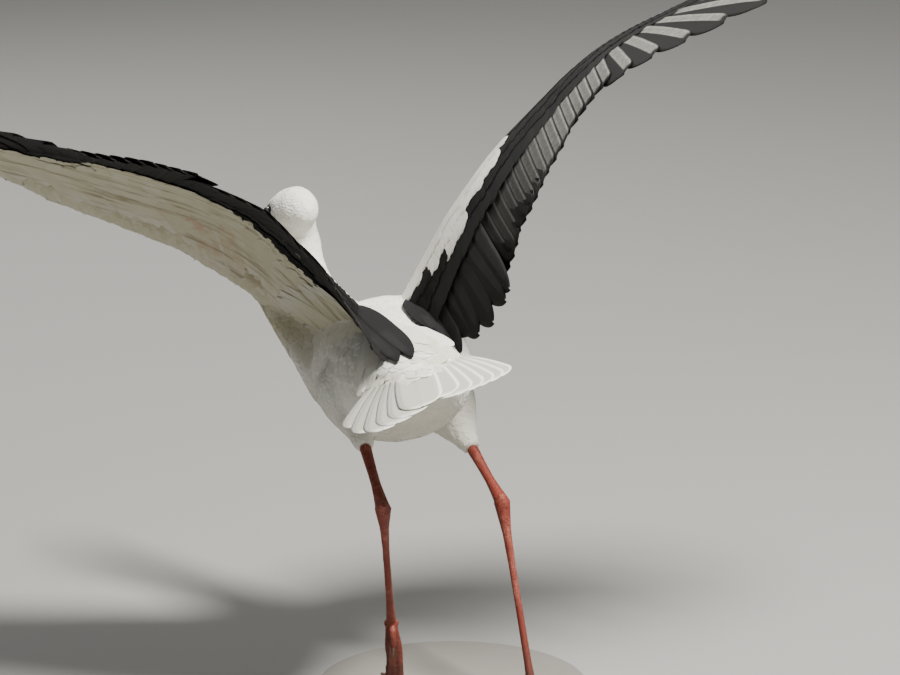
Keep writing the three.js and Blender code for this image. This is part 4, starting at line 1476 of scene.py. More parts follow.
def plumage_colours(shader, place, tone, shade, along=None):
    """White and black plumage, mixed by the tone; along runs over each feather and brings painted shade
    at its root and, where rows is set, painted shade in streaks between the rows.
    """
    tint = colours()
    white = shader.blend(shade, tint.white, scaled(tint.white, 0.94))
    white = shader.blend(shader.stain(place, 11.0, 0.30), white, tint.cream)
    white = shader.blend(shader.trait("cream"), white, tint.cream)
    thin = shader.between(shader.noise(place, 75.0, 4.0, 0.65), 0.42, 0.66)
    white = shader.blend(shader.times(shader.trait("pink"), thin), white, tint.pink)
    if along is not None:
        # Painted shade: each feather darker towards its root, under the ones that overlap it.
        root = shader.between(along, 0.4, 0.05, 0.0, 0.4)
        white = shader.blend(root, white, scaled(tint.white, 0.8))
        # Painted shade: streaks of the down colour along the span, between the rows of under coverts,
        # standing also for downy bases.
        drawn_out = shader.joined(
            shader.times(shader.trait("span"), 0.011), shader.times(shader.trait("chord"), 0.11))
        streak = shader.between(shader.noise(drawn_out, 1.0, 4.0, 0.6), 0.48, 0.68, 0.0, 0.75)
        white = shader.blend(shader.times(streak, shader.trait("rows")), white, tint.down)
    black = shader.blend(shader.times(shade, 0.5), tint.black, tint.slate)
    return shader.blend(tone, white, black)


SOFT_SHEEN = 0.2


def plumage_material(sheen=0.0):
    return painted("soft plumage" if sheen else "plumage", paint_plumage, sheen)


def paint_plumage(shader, sheen):
    """White or black small feathers, after the tone of each; sheen softens all-white ones."""
    _, barbs = shader.barbs(22.0)
    tone = shader.trait("tone")
    colour = plumage_colours(shader, shader.place(), tone, shader.trait("shade"), barbs["Along"])
    roughness = shader.between(tone, 0, 1, 0.88, 0.8)
    normal = bump(shader, barbs["Height"], 0.22, 0.2)
    principled(
        shader, colour, roughness, normal, Sheen_Weight=sheen, Sheen_Roughness=0.5,
        Specular_IOR_Level=0.12)


def paint_flight(shader):
    """Black flight feathers with silver outer webs."""
    tint = colours()
    vane, barbs = shader.barbs(110.0)
    across, along, _ = shader.split(vane)
    shade = shader.trait("shade")
    ragged = shader.times(shader.noise(vane, 7.0, 4.0), 0.05)
    web = shader.plus(across, shader.maths("SUBTRACT", ragged, 0.025))
    outer = shader.times(shader.between(web, 0.50, 0.56), shader.between(web, 0.985, 0.92))
    past_start = shader.maths("SUBTRACT", along, shader.trait("bloom_start"))
    before_tip = shader.plus(along, ragged)
    stretch = shader.times(
        shader.between(past_start, 0, 0.12), shader.between(before_tip, 0.975, 0.92))
    streaks = shader.joined(
        shader.times(across, 5.0), shader.times(along, 46.0), shader.times(shade, 30.0))
    uneven = shader.between(shader.noise(streaks, 1.0), 0.25, 0.75, 0.6, 1.1)
    bloom = shader.times(shader.times(outer, stretch), shader.trait("bloom"))
    bloom = shader.times(bloom, uneven)
    black = shader.blend(shader.times(shade, 0.6), tint.black, tint.slate)
    black = shader.blend(shader.times(barbs["Edge"], 0.5), black, tint.slate)
    colour = shader.blend(bloom, black, tint.silver)
    colour = shader.blend(shader.times(barbs["Shaft"], 0.7), colour, (0.010, 0.008, 0.007))
    roughness = shader.between(bloom, 0, 1, 0.78, 0.86)
    normal = bump(shader, barbs["Height"], 0.3, 0.3)
    principled(shader, colour, roughness, normal, Specular_IOR_Level=0.12)


def paint_tail(shader):
    """White tail feathers with painted light on their rims and painted shade over their middles and
    roots.
    """
    tint = colours()
    _, barbs = shader.barbs(90.0)
    along = barbs["Along"]
    # Painted shade over each feather's middle, and painted light along its rims and tip.
    inside = tuple(value * share for value, share in zip(tint.white, (0.54, 0.55, 0.50)))
    thin_edge = shader.between(barbs["Edge"], 0.3, 0.75)
    sides = shader.times(thin_edge, shader.between(along, 0.3, 0.55))
    rim = shader.maths("MAXIMUM", sides, shader.between(along, 0.94, 0.995))
    colour = shader.blend(rim, inside, tint.white)
    # Painted shade in cream towards the roots, where the feathers overlap.
    colour = shader.blend(shader.between(along, 0.62, 0.2, 0.0, 0.3), colour, tint.cream)
    colour = shader.blend(shader.stain(shader.place(), 16.0, 0.35), colour, tint.cream)
    colour = shader.blend(shader.times(barbs["Shaft"], 0.6), colour, tint.cream)
    normal = bump(shader, barbs["Height"], 0.25, 0.3)
    principled(shader, colour, 0.6, normal, Sheen_Weight=0.15)


def paint_skin(shader):
    """Skin under the coat, bare black face and scaly red legs, the feet darker in patches towards the
    floor.
    """
    tint = colours()
    place = shader.place()
    coat = plumage_colours(shader, place, shader.trait("tone"), shader.trait("shade"))
    scales = shader.node(
        "ShaderNodeTexVoronoi", {"Vector": place, "Scale": 420.0}, feature="DISTANCE_TO_EDGE")
    groove = shader.between(scales.outputs[0], 0.0, 0.16)
    red = shader.blend(shader.stain(place, 26.0, 0.75), tint.leg, tint.leg_pale)
    red = shader.blend(groove, scaled(tint.leg, 0.55), red)
    # The feet darken in patches towards the floor.
    low = shader.between(shader.split(place)[2], 0.10, 0.035)
    floor_patches = shader.between(shader.noise(place, 60.0, 4.0), 0.3, 0.62, 0.35, 0.8)
    red = shader.blend(shader.times(low, floor_patches), red, tint.mud)
    bare = shader.trait("bare")
    face = shader.between(shader.trait("face"), 0.35, 0.65)
    colour = shader.blend(bare, coat, red)
    colour = shader.blend(face, colour, tint.bare_black)
    rough = shader.between(bare, 0, 1, 0.85, 0.55)
    fine = shader.noise(place, 900.0, 2.0)
    height = shader.plus(shader.times(groove, bare), shader.times(fine, 0.3))
    principled(shader, colour, rough, bump(shader, height, 0.7, 0.35))


def paint_horn(shader, colour, tip, streaks, roughness):
    """Horn with fine streaks along its own map."""
    along = shader.trait("along")
    lines = shader.joined(shader.times(shader.trait("around"), streaks), shader.times(along, 3.0))
    grain = shader.noise(lines, 1.0, 4.0, 0.6)
    worn = shader.noise(shader.place(), 90.0, 4.0)
    mixed = shader.blend(shader.between(along, 0.1, 1.0), colour, tip)
    mixed = shader.blend(shader.between(grain, 0.45, 0.8, 0.0, 0.6), mixed, scaled(colour, 0.6))
    mixed = shader.blend(shader.between(worn, 0.6, 0.8, 0.0, 0.35), mixed, tip)
    rough = shader.between(worn, 0.2, 0.8, roughness - 0.08, roughness + 0.14)
    height = shader.plus(grain, shader.times(worn, 0.5))
    principled(shader, mixed, rough, bump(shader, height, 0.3, 0.4), Specular_IOR_Level=0.5)


def paint_eye(shader):
    """Dark brown iris, black pupil and a wet surface."""
    ring = shader.trait("ring")
    fibres = shader.noise(shader.place(), 1400.0, 3.0)
    iris = shader.blend(
        shader.between(fibres, 0.3, 0.7), (0.035, 0.018, 0.010), (0.075, 0.040, 0.022))
    colour = shader.blend(shader.between(ring, 0.40, 0.34), iris, (0.002, 0.002, 0.002))
    colour = shader.blend(shader.between(ring, 0.74, 0.82), colour, (0.010, 0.008, 0.008))
    rough = shader.between(fibres, 0.2, 0.8, 0.05, 0.08)
    principled(shader, colour, rough, Coat_Weight=1.0, Coat_Roughness=0.03)


def paint_board(shader):
    """Satin paint over close-grained wood."""
    tint = colours()
    place = shader.place()
    inputs = {"Vector": place, "Scale": (6.0, 90.0, 6.0)}
    grain = shader.noise(shader.node("ShaderNodeMapping", inputs).outputs[0], 6.0, 5.0)
    colour = shader.blend(shader.stain(place, 9.0, 0.3), tint.board, scaled(tint.board, 0.82))
    rough = shader.between(grain, 0.2, 0.8, 0.74, 0.86)
    principled(shader, colour, rough, bump(shader, grain, 0.15, 0.3), Specular_IOR_Level=0.2)


def paint_floor(shader):
    """The stage's plain pale floor."""
    floor = colours().floor
    cloud = shader.noise(shader.place(), 0.8, 2.0)
    principled(shader, shader.blend(cloud, floor, scaled(floor, 0.97)), 0.9)


# ---- flight feathers

def flight_row(wing, label, root, tip, width, bloom, layer, tilt, outline, node, **more):
    """A row of closed flight feathers as one piece; a single value holds for the whole row.

    width gives the half widths out and in, bloom how silver the outer web is and where that
    starts, and layer the height of root and tip; more may hold height, shaft, cup, bend and
    rise, as in plan_vanes, and drape, the clearance over the back.
    """
    name = f"{wing.name}_{label}"
    draws = draws_from(len(name))
    count = len(root)

    def each(value):
        return np.broadcast_to(np.asarray(value, float), (count,))

    row = {
        "root": root, "tip": tip, "outer": each(width[0]), "inner": each(width[1]),
        "layer": np.broadcast_to(layer, (count, 2)), "tilt": tilt, "side": 1,
        "thick": FLIGHT_THICKNESS, "height": more.get("height", wing.camber),
        "shaft": more.get("shaft", 0.6), "cup": more.get("cup", 0),
        "bend": each(more.get("bend", 0)), "rise": each(more.get("rise", 0))}
    points = plan_vanes(wing, FLIGHT_VANE, row, outline)
    if "drape" in more:
        thick = (FLIGHT_VANE.face[None] + 1) * FLIGHT_THICKNESS
        steps = np.arange(count)[:, None] * 0.35 + FLIGHT_VANE.across[None] * 0.5
        points = draped(points, more["drape"] + steps + thick)
    places = np.stack([np.linspace(0.05, 0.9, count), each(0.375)], -1)
    traits = {"bloom": each(bloom[0]), "bloom_start": each(bloom[1]), "shade": draws.random(count)}
    piece = feather_piece(name, FLIGHT_VANE, points, places, traits)
    material = painted("flight feathers", paint_flight)
    finish_piece(piece, material, "plumage_black", f"wing_{wing.name}_{node}")


def row_places(start, end, count):
    """Middles of equal steps from start to end, and their shares."""
    share = (np.arange(count) + 0.5) / count
    return start + (end - start) * share, share


def make_tertials(wing):
    """The innermost long feathers, laid softly over the back."""
    x, share = row_places(*TERTIALS)
    y = station(COVERT_EDGE, x)
    draws = draws_from(60 + wing.side)
    reach = wing.pose["tertials"] + draws.normal(0, 2, len(x))
    root = np.stack([x, y - 34], -1)
    tip = np.stack([x + (40 * share - 64) * reach / 150, y + reach], -1)
    flight_row(
        wing, "tertials", root, tip, (17.0, 23.0), (0.03, 0.5), (1.4, 0.4), 1.0,
        partial(rounded, base=0.6, widest=0.42, tip=0.66), "tertials",
        drape=wing.pose["clearance"], bend=draws.normal(0, 5, len(x)), shaft=0.3, cup=2.2,
        rise=wing.pose["tertial_rise"])


def make_secondaries(wing):
    """The flight feathers of the forearm, silvered from the middle of the wing outward."""
    x, share = row_places(*SECONDARIES)
    y = station(COVERT_EDGE, x)
    root = np.stack([x + 2, y - 30], -1)
    trim = np.interp(x, *wing.pose["secondary_trim"])
    tip = np.stack([x - 27 + 21 * share, y + 172 - 26 * share + trim], -1)
    bloom = np.interp(x, [150, 190, 240, 275, 300], [0.04, 0.14, 0.35, 0.75, 1.0])
    start = np.interp(x, [150, 180, 246, 290], [0.55, 0.42, 0.30, 0.14])
    flight_row(
        wing, "secondaries", root, tip, (14.0, 22.0), (bloom, start), (0.6, 0.2), 1.3,
        partial(rounded, base=0.7, widest=0.3, tip=0.88), "secondaries",
        rise=np.interp(x, *wing.pose["secondary_rise"]))


def make_inner_primaries(wing):
    """The closed flight feathers of the hand."""
    x, share = row_places(*INNER_PRIMARIES)
    y = station(COVERT_EDGE, x)
    turn = np.radians(92 - 27 * share)
    reach = 146 + 116 * share ** 1.3 + 3 + wing.pose["primary_trim"]
    root = np.stack([x - np.cos(turn) * 30, y - np.sin(turn) * 30], -1)
    tip = np.stack([x + np.cos(turn) * reach, y + np.sin(turn) * reach], -1)
    flight_row(
        wing, "inner_primaries", root, tip, (15.0, 27.0), (1.0, 0.15), (0.5, 0.2), 1.5,
        partial(rounded, base=0.6, widest=0.35, tip=0.86), "primaries_inner",
        rise=wing.pose["primary_rise"])


def make_outer_primaries(wing):
    """The spread fingers of the hand."""
    at, angle, length, width = (np.array(values, float) for values in zip(*FINGERS))
    turn = np.radians(angle)
    y = station(COVERT_EDGE, at) - 12
    root = np.stack([at - np.cos(turn) * 14, y - np.sin(turn) * 14], -1)
    tip = np.stack([at + np.cos(turn) * length, y + np.sin(turn) * length], -1)
    count = len(at)
    layer = np.stack([0.5 - np.arange(count) * 0.9, np.zeros(count)], -1)

    def outline(along):
        return np.interp(along, FINGER_SHARES, FINGER_WIDTHS) * np.where(along > 0.97, 0.7, 1)

    flight_row(
        wing, "outer_primaries", root, tip, (width * 0.8, width * 1.2),
        (np.linspace(0.95, 0.35, count), 0.2), layer, 0.9, outline, "primaries_outer")


def make_alula(wing):
    """The small stiff feathers of the thumb."""
    share = np.linspace(0, 1, 4)
    front = station(LEADING_EDGE, WRIST + 12) + 16 - 7 * share
    root = np.stack([WRIST + 8 + 10 * share, front], -1)
    front = station(LEADING_EDGE, WRIST + 90) + 12 - 11 * share
    tip = np.stack([WRIST + 66 + 40 * share, front], -1)
    flight_row(
        wing, "alula", root, tip, (5.0, 7.0), (0.0, 0.2), (2.0, 2.6), 0.4,
        partial(rounded, base=0.5, widest=0.4, tip=0.8), "alula",
        height=partial(wing.cover, side=1), shaft=0.4)


# ---- wing coverts in rows

def covert_row(wing, side, x, rear, length, lean, half, layer, draws, black):
    """One row of coverts: rear is where the tips end."""
    count = len(x)
    rear = rear + draws.normal(0, 2.2, count)
    length = length * draws.uniform(0.92, 1.08, count)
    lean = lean + draws.normal(0, 0.04, count)
    way = np.stack([np.sin(lean), np.cos(lean)], -1)
    tip = np.stack([x, rear], -1)
    return {
        "root": tip - way * length[:, None], "tip": tip,
        "outer": half * draws.uniform(0.95, 1.05, count),
        "inner": half * draws.uniform(0.95, 1.05, count),
        "layer": np.tile(layer, (count, 1)), "tilt": 0.35 * side, "side": side, "cup": 0.3,
        "height": partial(wing.cover, side=side), "black": np.full(count, black),
        "bend": draws.normal(0, 1.0, count)}


def upper_rows(wing, draws):
    """Rows of the upper side from the rear forward, the later ones on top."""
    x = row_places(120, WRIST, 20)[0]
    rear = station(COVERT_EDGE, x) + 40
    lean = np.interp(x, [120, WRIST], [-0.2, 0.0])
    greater = covert_row(wing, 1, x, rear, 82, lean, 12.5, (0.6, 1.4), draws, 1)
    x = row_places(-6, 124, 9)[0]
    rear = station(COVERT_EDGE, x) + 44
    inner = covert_row(wing, 1, x, rear, 84, -0.42, 15.0, (0.6, 1.6), draws, 1)
    x = row_places(WRIST, 520, 11)[0]
    lean = np.radians(90 - np.interp(x, [WRIST, 450, 520], [90, 66, 22]))
    rear = station(COVERT_EDGE, x) + 34 * np.cos(lean)
    x = x + 18 * np.sin(lean)
    primary = covert_row(wing, 1, x, rear, 74, lean, 9.5, (0.6, 1.4), draws, 1)
    rows = [greater, inner, primary]
    for back, run, top in LESSER_ROWS:
        x = row_places(-10, 500, 58)[0]
        rear = station(COVERT_EDGE, x) + back
        lean = np.interp(x, [0, 200, WRIST, 500], [-0.3, 0.1, 0.35, 1.0])
        row = covert_row(wing, 1, x, rear, run, lean, 10.0, (top - 1.2, top), draws, 0)
        row["black"] = wing.blackness(x, rear - 10, 1)
        rows.append(row)
    return rows


def under_rows(wing, draws):
    """Rows of the under side from the rear forward, and the long feathers of the wing pit."""
    rows = []
    for back, run, half, count in UNDER_ROWS:
        x = row_places(-8, 512, count)[0]
        rear = np.interp(x, UNDER_STATIONS, UNDER_EDGE) + back
        lean = np.interp(x, [0, 200, WRIST, 512], [0.2, 0.75, 0.85, 1.15])
        row = covert_row(wing, -1, x, rear, run, lean, half, (0.3, 1.5), draws, 0)
        keep = row["root"][:, 1] > station(LEADING_EDGE, x) + 16
        rows.append({key: value[keep] if isinstance(value, np.ndarray) else value
                     for key, value in row.items()})
    share = np.linspace(0, 1, 14)
    rows.append(covert_row(
        wing, -1, -26 + 6 * share, 150 - 104 * share, 113, -1.0 - 0.22 * share, 9.0, (1.8, 2.6),
        draws, 0))
    return rows


def make_coverts(wing):
    """Greater, median and primary coverts of one wing, white and black apart."""
    draws = draws_from(40 + wing.side)
    outline = partial(rounded, base=0.5, widest=0.45, tip=0.8)
    made = {"white": [], "black": []}
    for row in upper_rows(wing, draws) + under_rows(wing, draws):
        points = plan_vanes(wing, COVERT_VANE, row, outline)
        middle = (row["root"] + row["tip"]) / 2
        under = np.full(len(middle), float(row["side"] < 0))
        for tone, parts in enumerate(made.values()):
            picked = row["black"] == tone
            values = (points, middle, under, row["span"], row["chord"])
            parts.append([value[picked] for value in values])
    for tone, (label, parts) in enumerate(made.items()):
        points, middle, under, span, chord = (np.concatenate(part) for part in zip(*parts))
        count = len(points)
        # pale marks the white under coverts, which get cream as painted shade and streaks of painted
        # shade.
        pale = under * (1 - tone)
        x, y = middle.T
        traits = {
            "tone": np.full(count, tone), "shade": draws.random(count),
            "cream": pale * draws.uniform(0.6, 0.75, count), "rows": pale, "span": span,
            "chord": chord, "pink": pale * worn_patch(x, y, 24) * draws.uniform(0.3, 0.9, count)}
        name = f"{wing.name}_{label}_coverts"
        piece = feather_piece(name, COVERT_VANE, points, plan_map(x, y, under), traits)
        finish_piece(piece, plumage_material(), f"plumage_{label}")


# ---- tail

def behind_root(root, axes, back, aside, height):
    """Stance places measured back, to the left and up from the tail's root."""
    forward, left, up = axes
    return root - forward * back[..., None] + left * aside[..., None] + up * height[..., None]


def make_tail():
    """Twelve broad tail feathers, the middle pair on top."""
    axes = body_axes(TAIL_YAW, TAIL_RISE, TAIL_ROLL)
    root = TRUNK_CENTRE + np.array(TAIL_ROOT)
    turn, share, droop = (np.array(values, float)[:, None] for values in zip(*TAIL_FAN))
    turn = np.radians(turn)
    count = len(TAIL_FAN)
    rank = np.arange(count)[:, None]
    across = 1 - (rank + 0.5) / count * 2
    vane = FLIGHT_VANE
    run = vane.along * (share * TAIL_LENGTH + TAIL_SUNK) - TAIL_SUNK
    shift = vane.across * TAIL_HALF * rounded(vane.along, 0.34, 0.75, 0.86)
    back = run * np.cos(turn) - shift * np.sin(turn)
    aside = TAIL_WIDTH / 2 * across + run * np.sin(turn) + shift * np.cos(turn)
    layer = TAIL_TOP * (rank == count // 2 - 1)
    layer = layer - TAIL_LAYER * (np.abs(across) - 1 / count) * (count - 1) / 2
    bend = droop * vane.along ** 2.4 + 0.5 * vane.across ** 2 * vane.along
    tilt = TAIL_TILT * np.sign(across) * vane.across
    ridge = 0.5 * (np.abs(vane.across) < MIDDLE_LINE) * (1 - 0.8 * vane.along)
    height = layer - bend - tilt + vane.face * (0.2 + ridge)
    draws = draws_from(3)
    places = np.stack([np.linspace(0.1, 0.9, count), np.full(count, 0.5)], -1)
    points = behind_root(root, axes, back, aside, height)
    piece = feather_piece("tail_vanes", vane, points, places, {"shade": draws.random(count)})
    finish_piece(piece, painted("tail feathers", paint_tail), "tail_white", "tail_feathers")
    make_tail_coverts(root, axes, draws)


def make_tail_coverts(root, axes, draws):
    """Soft feathers that run from the rump out over the base of the tail."""
    vane = COVERT_VANE
    count = TAIL_COVERTS
    rank = np.arange(count)
    across = draws.uniform(-1, 1, count)[:, None]
    start = (TAIL_COVERT_START + TAIL_COVERT_RUN * rank[::-1] / count)[:, None]
    length = draws.uniform(*TAIL_COVERT_LENGTH, count)[:, None]
    turn = np.radians(16 * across + 2 + draws.normal(0, 2, count)[:, None])
    back = start + vane.along * length * np.cos(turn)
    shift = vane.across * 11.5 * rounded(vane.along, 0.5, 0.5, 0.72)
    spread = across * (31 + 0.04 * (start + 44)) + 8
    aside = spread + vane.along * length * np.sin(turn) + shift
    hump = 6 * np.clip(1 - back / 60, 0, 1.3) ** 1.2
    fall = vane.across ** 2 + (aside / 36) ** 2 * 7
    points = behind_root(root, axes, back, aside, 1.2 + rank[:, None] * 0.03 + hump - fall)
    points = draped(points, 1.0 + rank[:, None] * 0.02 + 1.2 * vane.along)
    places = np.stack([0.5 + across[:, 0] * 0.4, 0.2 + rank / count * 0.6], -1)
    traits = {
        "tone": np.zeros(count), "shade": draws.random(count),
        "cream": draws.uniform(0.0, 0.5, count)}
    piece = feather_piece("tail_base_coverts", vane, points, places, traits)
    finish_piece(piece, plumage_material(SOFT_SHEEN), "plumage_white")


# ---- head, bill, eyes and claws

def make_head_coat():
    """The short feathers of the head."""
    coat = coat_settings()
    draws = draws_from(5)
    points, normals, triangles = mesh_arrays(Skin.head_mesh)
    forward = measured(points, HEAD_MIDDLE, HEAD_AXES)[0]
    eyes = [np.linalg.norm(points - in_frame(eye_middle(side)), axis=1) for side in (1, -1)]
    face = face_mask(points)
    allowed = ~face & (np.minimum(*eyes) / MM > 9.5) & (forward < 43)
    spacing = coat.head_spacing * np.interp(forward, [-30, 40], [1.15, 0.72])
    near_face = smoothed(face.astype(float)[:, None], triangles, 24)[:, 0]
    chosen, weights = scattered(points, triangles, spacing, draws, allowed)
    places, normals, gap, ahead, near_face = (
        read_at(values, triangles, chosen, weights)
        for values in (points, normals, spacing, forward, near_face))
    normals = unit(normals)
    way = -HEAD_AXES[0] - HEAD_AXES[2] * np.interp(ahead, [-45, 0], [1.0, 0.15])[:, None]
    way = unit(way - normals * dot(way, normals)[:, None])
    ways = turned_ways(way, normals, draws, 0.08)
    count = len(places)
    length = gap * np.interp(near_face, [0, 0.3], [4.6, 2.2]) * draws.uniform(0.85, 1.15, count)
    depth = coat.head_depth * np.interp(ahead, [0, 42], [1.0, 0.45])
    laid = laid_vanes(
        Skin.head_tree, SMALL_VANE, places, normals, ways, length, gap * 1.15, depth * 0.4,
        depth * 0.85, 0.2)
    traits = {"tone": np.zeros(count), "shade": draws.random(count)}
    piece = feather_piece("head_coat", SMALL_VANE, laid, head_map(places), traits)
    finish_piece(piece, plumage_material(SOFT_SHEEN), "plumage_white")


BILL_RINGS = 44
BILL_SIDES = 28
BILL_ROOT = HEAD_ALONG[-1] + 0.3
NOSTRIL = (0.13, 0.75)          # share of the bill's length, turn up from its side


def bill_ring(share, height, sign):
    """A ring of the upper (1) or lower (-1) half, with the ridge and the nostrils."""
    turns = np.arange(BILL_SIDES) / BILL_SIDES * 2 * math.pi
    taper = max(1 - share ** 1.15, 0.03)
    cross = np.cos(turns) * BILL_HALF * taper
    dome = np.abs(np.sin(turns)) ** 0.85 * height * taper
    rise = np.where(np.sin(turns) > 0, dome, np.sin(turns) * 0.25)
    relief = 0.5 * taper * np.exp(-((turns - math.pi / 2) / 0.22) ** 2)
    if sign > 0:
        near = np.exp(-((share - NOSTRIL[0]) / 0.045) ** 2)
        for turn in (NOSTRIL[1], math.pi - NOSTRIL[1]):
            relief = relief - 1.5 * near * np.exp(-((turns - turn) / 0.13) ** 2)
    push = 1 + relief / np.maximum(np.hypot(cross, rise), 0.5)
    upward = -GAPE_DROP + sign * (0.15 + rise * push)
    return in_frame(head_point(BILL_ROOT + BILL_LENGTH * share, cross * push, upward))


def make_bill():
    """Both halves of the bill, which meet at the cutting edges."""
    tint = colours()
    halves = (("upper", 1, BILL_TOP + GAPE_DROP), ("lower", -1, BILL_BOTTOM - GAPE_DROP))
    for label, sign, height in halves:
        shares = np.linspace(0, 1, BILL_RINGS) ** 0.9
        shape = lofted([bill_ring(share, height, sign) for share in shares])
        piece = piece_from(shape, f"bill_{label}_horn")
        points = mesh_arrays(piece.data)[0]
        forward, left, up = measured(points, HEAD_MIDDLE, HEAD_AXES)
        set_attribute(piece.data, "along", (forward - BILL_ROOT) / BILL_LENGTH)
        set_attribute(piece.data, "around", np.arctan2(left, up + GAPE_DROP))
        horn = painted("bill horn", paint_horn, tint.bill, tint.bill_tip, 14.0, 0.36)
        finish_piece(piece, horn, "bill", f"bill_{label}")


def make_eyes():
    """Round eyes with a slight bulge in front."""
    for label, side in (("left", 1), ("right", -1)):
        shape = bmesh.new()
        bmesh.ops.create_uvsphere(
            shape, u_segments=40, v_segments=28, radius=EYE_RADIUS * 0.97)
        rings = []
        for vert in shape.verts:
            away = math.hypot(vert.co.x, vert.co.y) / EYE_RADIUS
            if vert.co.z > 0:
                vert.co.z += 0.7 * math.exp(-(away / 0.5) ** 2)
            rings.append(away if vert.co.z > 0 else 1.0)
        set_in_socket(shape, side)
        piece = piece_from(shape, f"{label}_eye")
        set_attribute(piece.data, "ring", rings)
        finish_piece(piece, painted("stork eye", paint_eye), "eye", f"eye_{label}")


CLAW_SHARES = [-0.12, 0, 0.4, 0.8, 1]
CLAW_RADII = [0.8, 1, 0.85, 0.5, 0.12]
CLAW_CURL = 1.6


def make_claws():
    """Short blunt claws that continue the toes."""
    tint = colours()
    shares = np.linspace(CLAW_SHARES[0], 1, 12)
    radii = CLAW_RADIUS * np.interp(shares, CLAW_SHARES, CLAW_RADII)
    for side, leg in LEGS.items():
        for toe, (turn, length) in TOES.items():
            corners = toe_points(leg, turn, length)
            tip = corners[-1]
            heading = unit(tip - corners[-2])
            across = unit(np.cross(heading, [0, 0, 1]))
            upward = np.cross(across, heading)
            ahead, down = 0.3 + CLAW_LENGTH * shares, CLAW_CURL * np.maximum(shares, 0) ** 2
            middles = [
                tip + heading * far - upward * drop for far, drop in zip(ahead, down)]
            rings = oval_rings(middles, across, upward, radii * 0.8, radii, radii, 14)
            for ring in rings:
                ring[:, 2] = np.maximum(ring[:, 2], 0)
            shape = lofted([in_frame(ring) for ring in rings])
            piece = piece_from(shape, f"{side}_{toe}_claw")
            points = mesh_arrays(piece.data)[0]
            ahead, aside, up = measured(points, tip, (heading, across, upward))
            set_attribute(piece.data, "along", np.clip(ahead / CLAW_LENGTH, 0, 1))
            set_attribute(piece.data, "around", np.arctan2(aside, up))
            pale = scaled(tint.claw, 1.8)
            horn = painted("claw horn", paint_horn, tint.claw, pale, 5.0, 0.4)
            finish_piece(piece, horn, "claw", f"leg_{side}_claw_{toe}")


SAME_LEVEL = 1e-6
BOARD_SIDES = 160
BOARD_RIM = 2.6                 # how far the upper and the lower edge are eased
BOARD_FOOT = 0.6


def make_board():
    """A round board with an eased upper edge."""
    low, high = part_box("stand_base")
    middle = (low + high) / 2
    shape = bmesh.new()
    ring = bmesh.ops.create_circle(
        shape, cap_ends=True, segments=BOARD_SIDES, radius=(high.x - low.x) / 2)
    bmesh.ops.translate(shape, vec=(middle.x, middle.y, low.z), verts=ring["verts"])
    grown = bmesh.ops.extrude_face_region(shape, geom=shape.faces[:])
    top = [vert for vert in grown["geom"] if isinstance(vert, bmesh.types.BMVert)]
    bmesh.ops.translate(shape, vec=(0, 0, high.z - low.z), verts=top)
    for level, ease, steps in ((high.z, BOARD_RIM, 5), (low.z, BOARD_FOOT, 2)):
        edges = [edge for edge in shape.edges
                 if all(abs(vert.co.z - level) < SAME_LEVEL for vert in edge.verts)]
        bmesh.ops.bevel(
            shape, geom=edges, offset=ease * MM, segments=steps, profile=0.5, affect="EDGES",
            material=-1)
    piece = piece_from(shape, "stand_board")
    finish_piece(piece, painted("board paint", paint_board), "board", "stand_base")
    for face in piece.data.polygons:
        face.use_smooth = abs(face.normal.z) < 0.999


# ---- stage

def add_light(name, target, power):
    """A soft round light that shines at the target."""
    offset, size, colour = LIGHTS[name]
    lamp = bpy.data.lights.new(name, "AREA")
    lamp.shape = "DISK"
    lamp.size = size
    lamp.energy = power
    lamp.color = colour
    holder = link_object(name, lamp)
    holder.location = target + Vector(offset)
    holder.rotation_euler = (-Vector(offset)).to_track_quat("-Z", "Y").to_euler()


def make_stage():
    """Floor, lights and camera."""
    scene = bpy.context.scene
    stage = scene.stork_stage
    shape = bmesh.new()
    bmesh.ops.create_grid(shape, x_segments=1, y_segments=1, size=FLOOR_HALF)
    floor = piece_from(shape, "floor")
    floor.data.materials.append(painted("floor", paint_floor))
    target = Vector(in_frame(STAGE_TARGET))
    back = Vector((0, math.cos(stage.elevation), math.sin(stage.elevation)))
    camera = bpy.data.cameras.new("camera")
    camera.lens = stage.lens
    camera.sensor_width = SENSOR_WIDTH
    camera.clip_end = VIEW_END
    holder = link_object("camera", camera)
    holder.location = target + back * stage.distance
    holder.rotation_euler = (-back).to_track_quat("-Z", "Y").to_euler()
    scene.camera = holder
    for name in LIGHTS:
        add_light(name, target, getattr(stage, f"{name}_power"))
    world = bpy.data.worlds.new("studio")
    world.use_nodes = True
    backdrop = world.node_tree.nodes["Background"]
    backdrop.inputs["Color"].default_value = BACKDROP_COLOUR
    backdrop.inputs["Strength"].default_value = BACKDROP_STRENGTH
    scene.world = world


# ---- operators

class STORK_OT_skin(bpy.types.Operator):
    """Make the one skin of body, head, wings and legs"""

    bl_idname = "stork.skin"
    bl_label = "Skin"

    def execute(self, context):
        make_skin()
        return {"FINISHED"}


class STORK_OT_body_coat(bpy.types.Operator):
    """Lay the small feathers on trunk, neck, thighs and wings"""

    bl_idname = "stork.body_coat"
    bl_label = "Body coat"

    def execute(self, context):
        make_body_coat()
        for side in WINGS:
            make_wing_coat(side)
        return {"FINISHED"}


class STORK_OT_head_coat(bpy.types.Operator):
    """Lay the short feathers on the head"""

    bl_idname = "stork.head_coat"
    bl_label = "Head coat"

    def execute(self, context):
        make_head_coat()
        return {"FINISHED"}


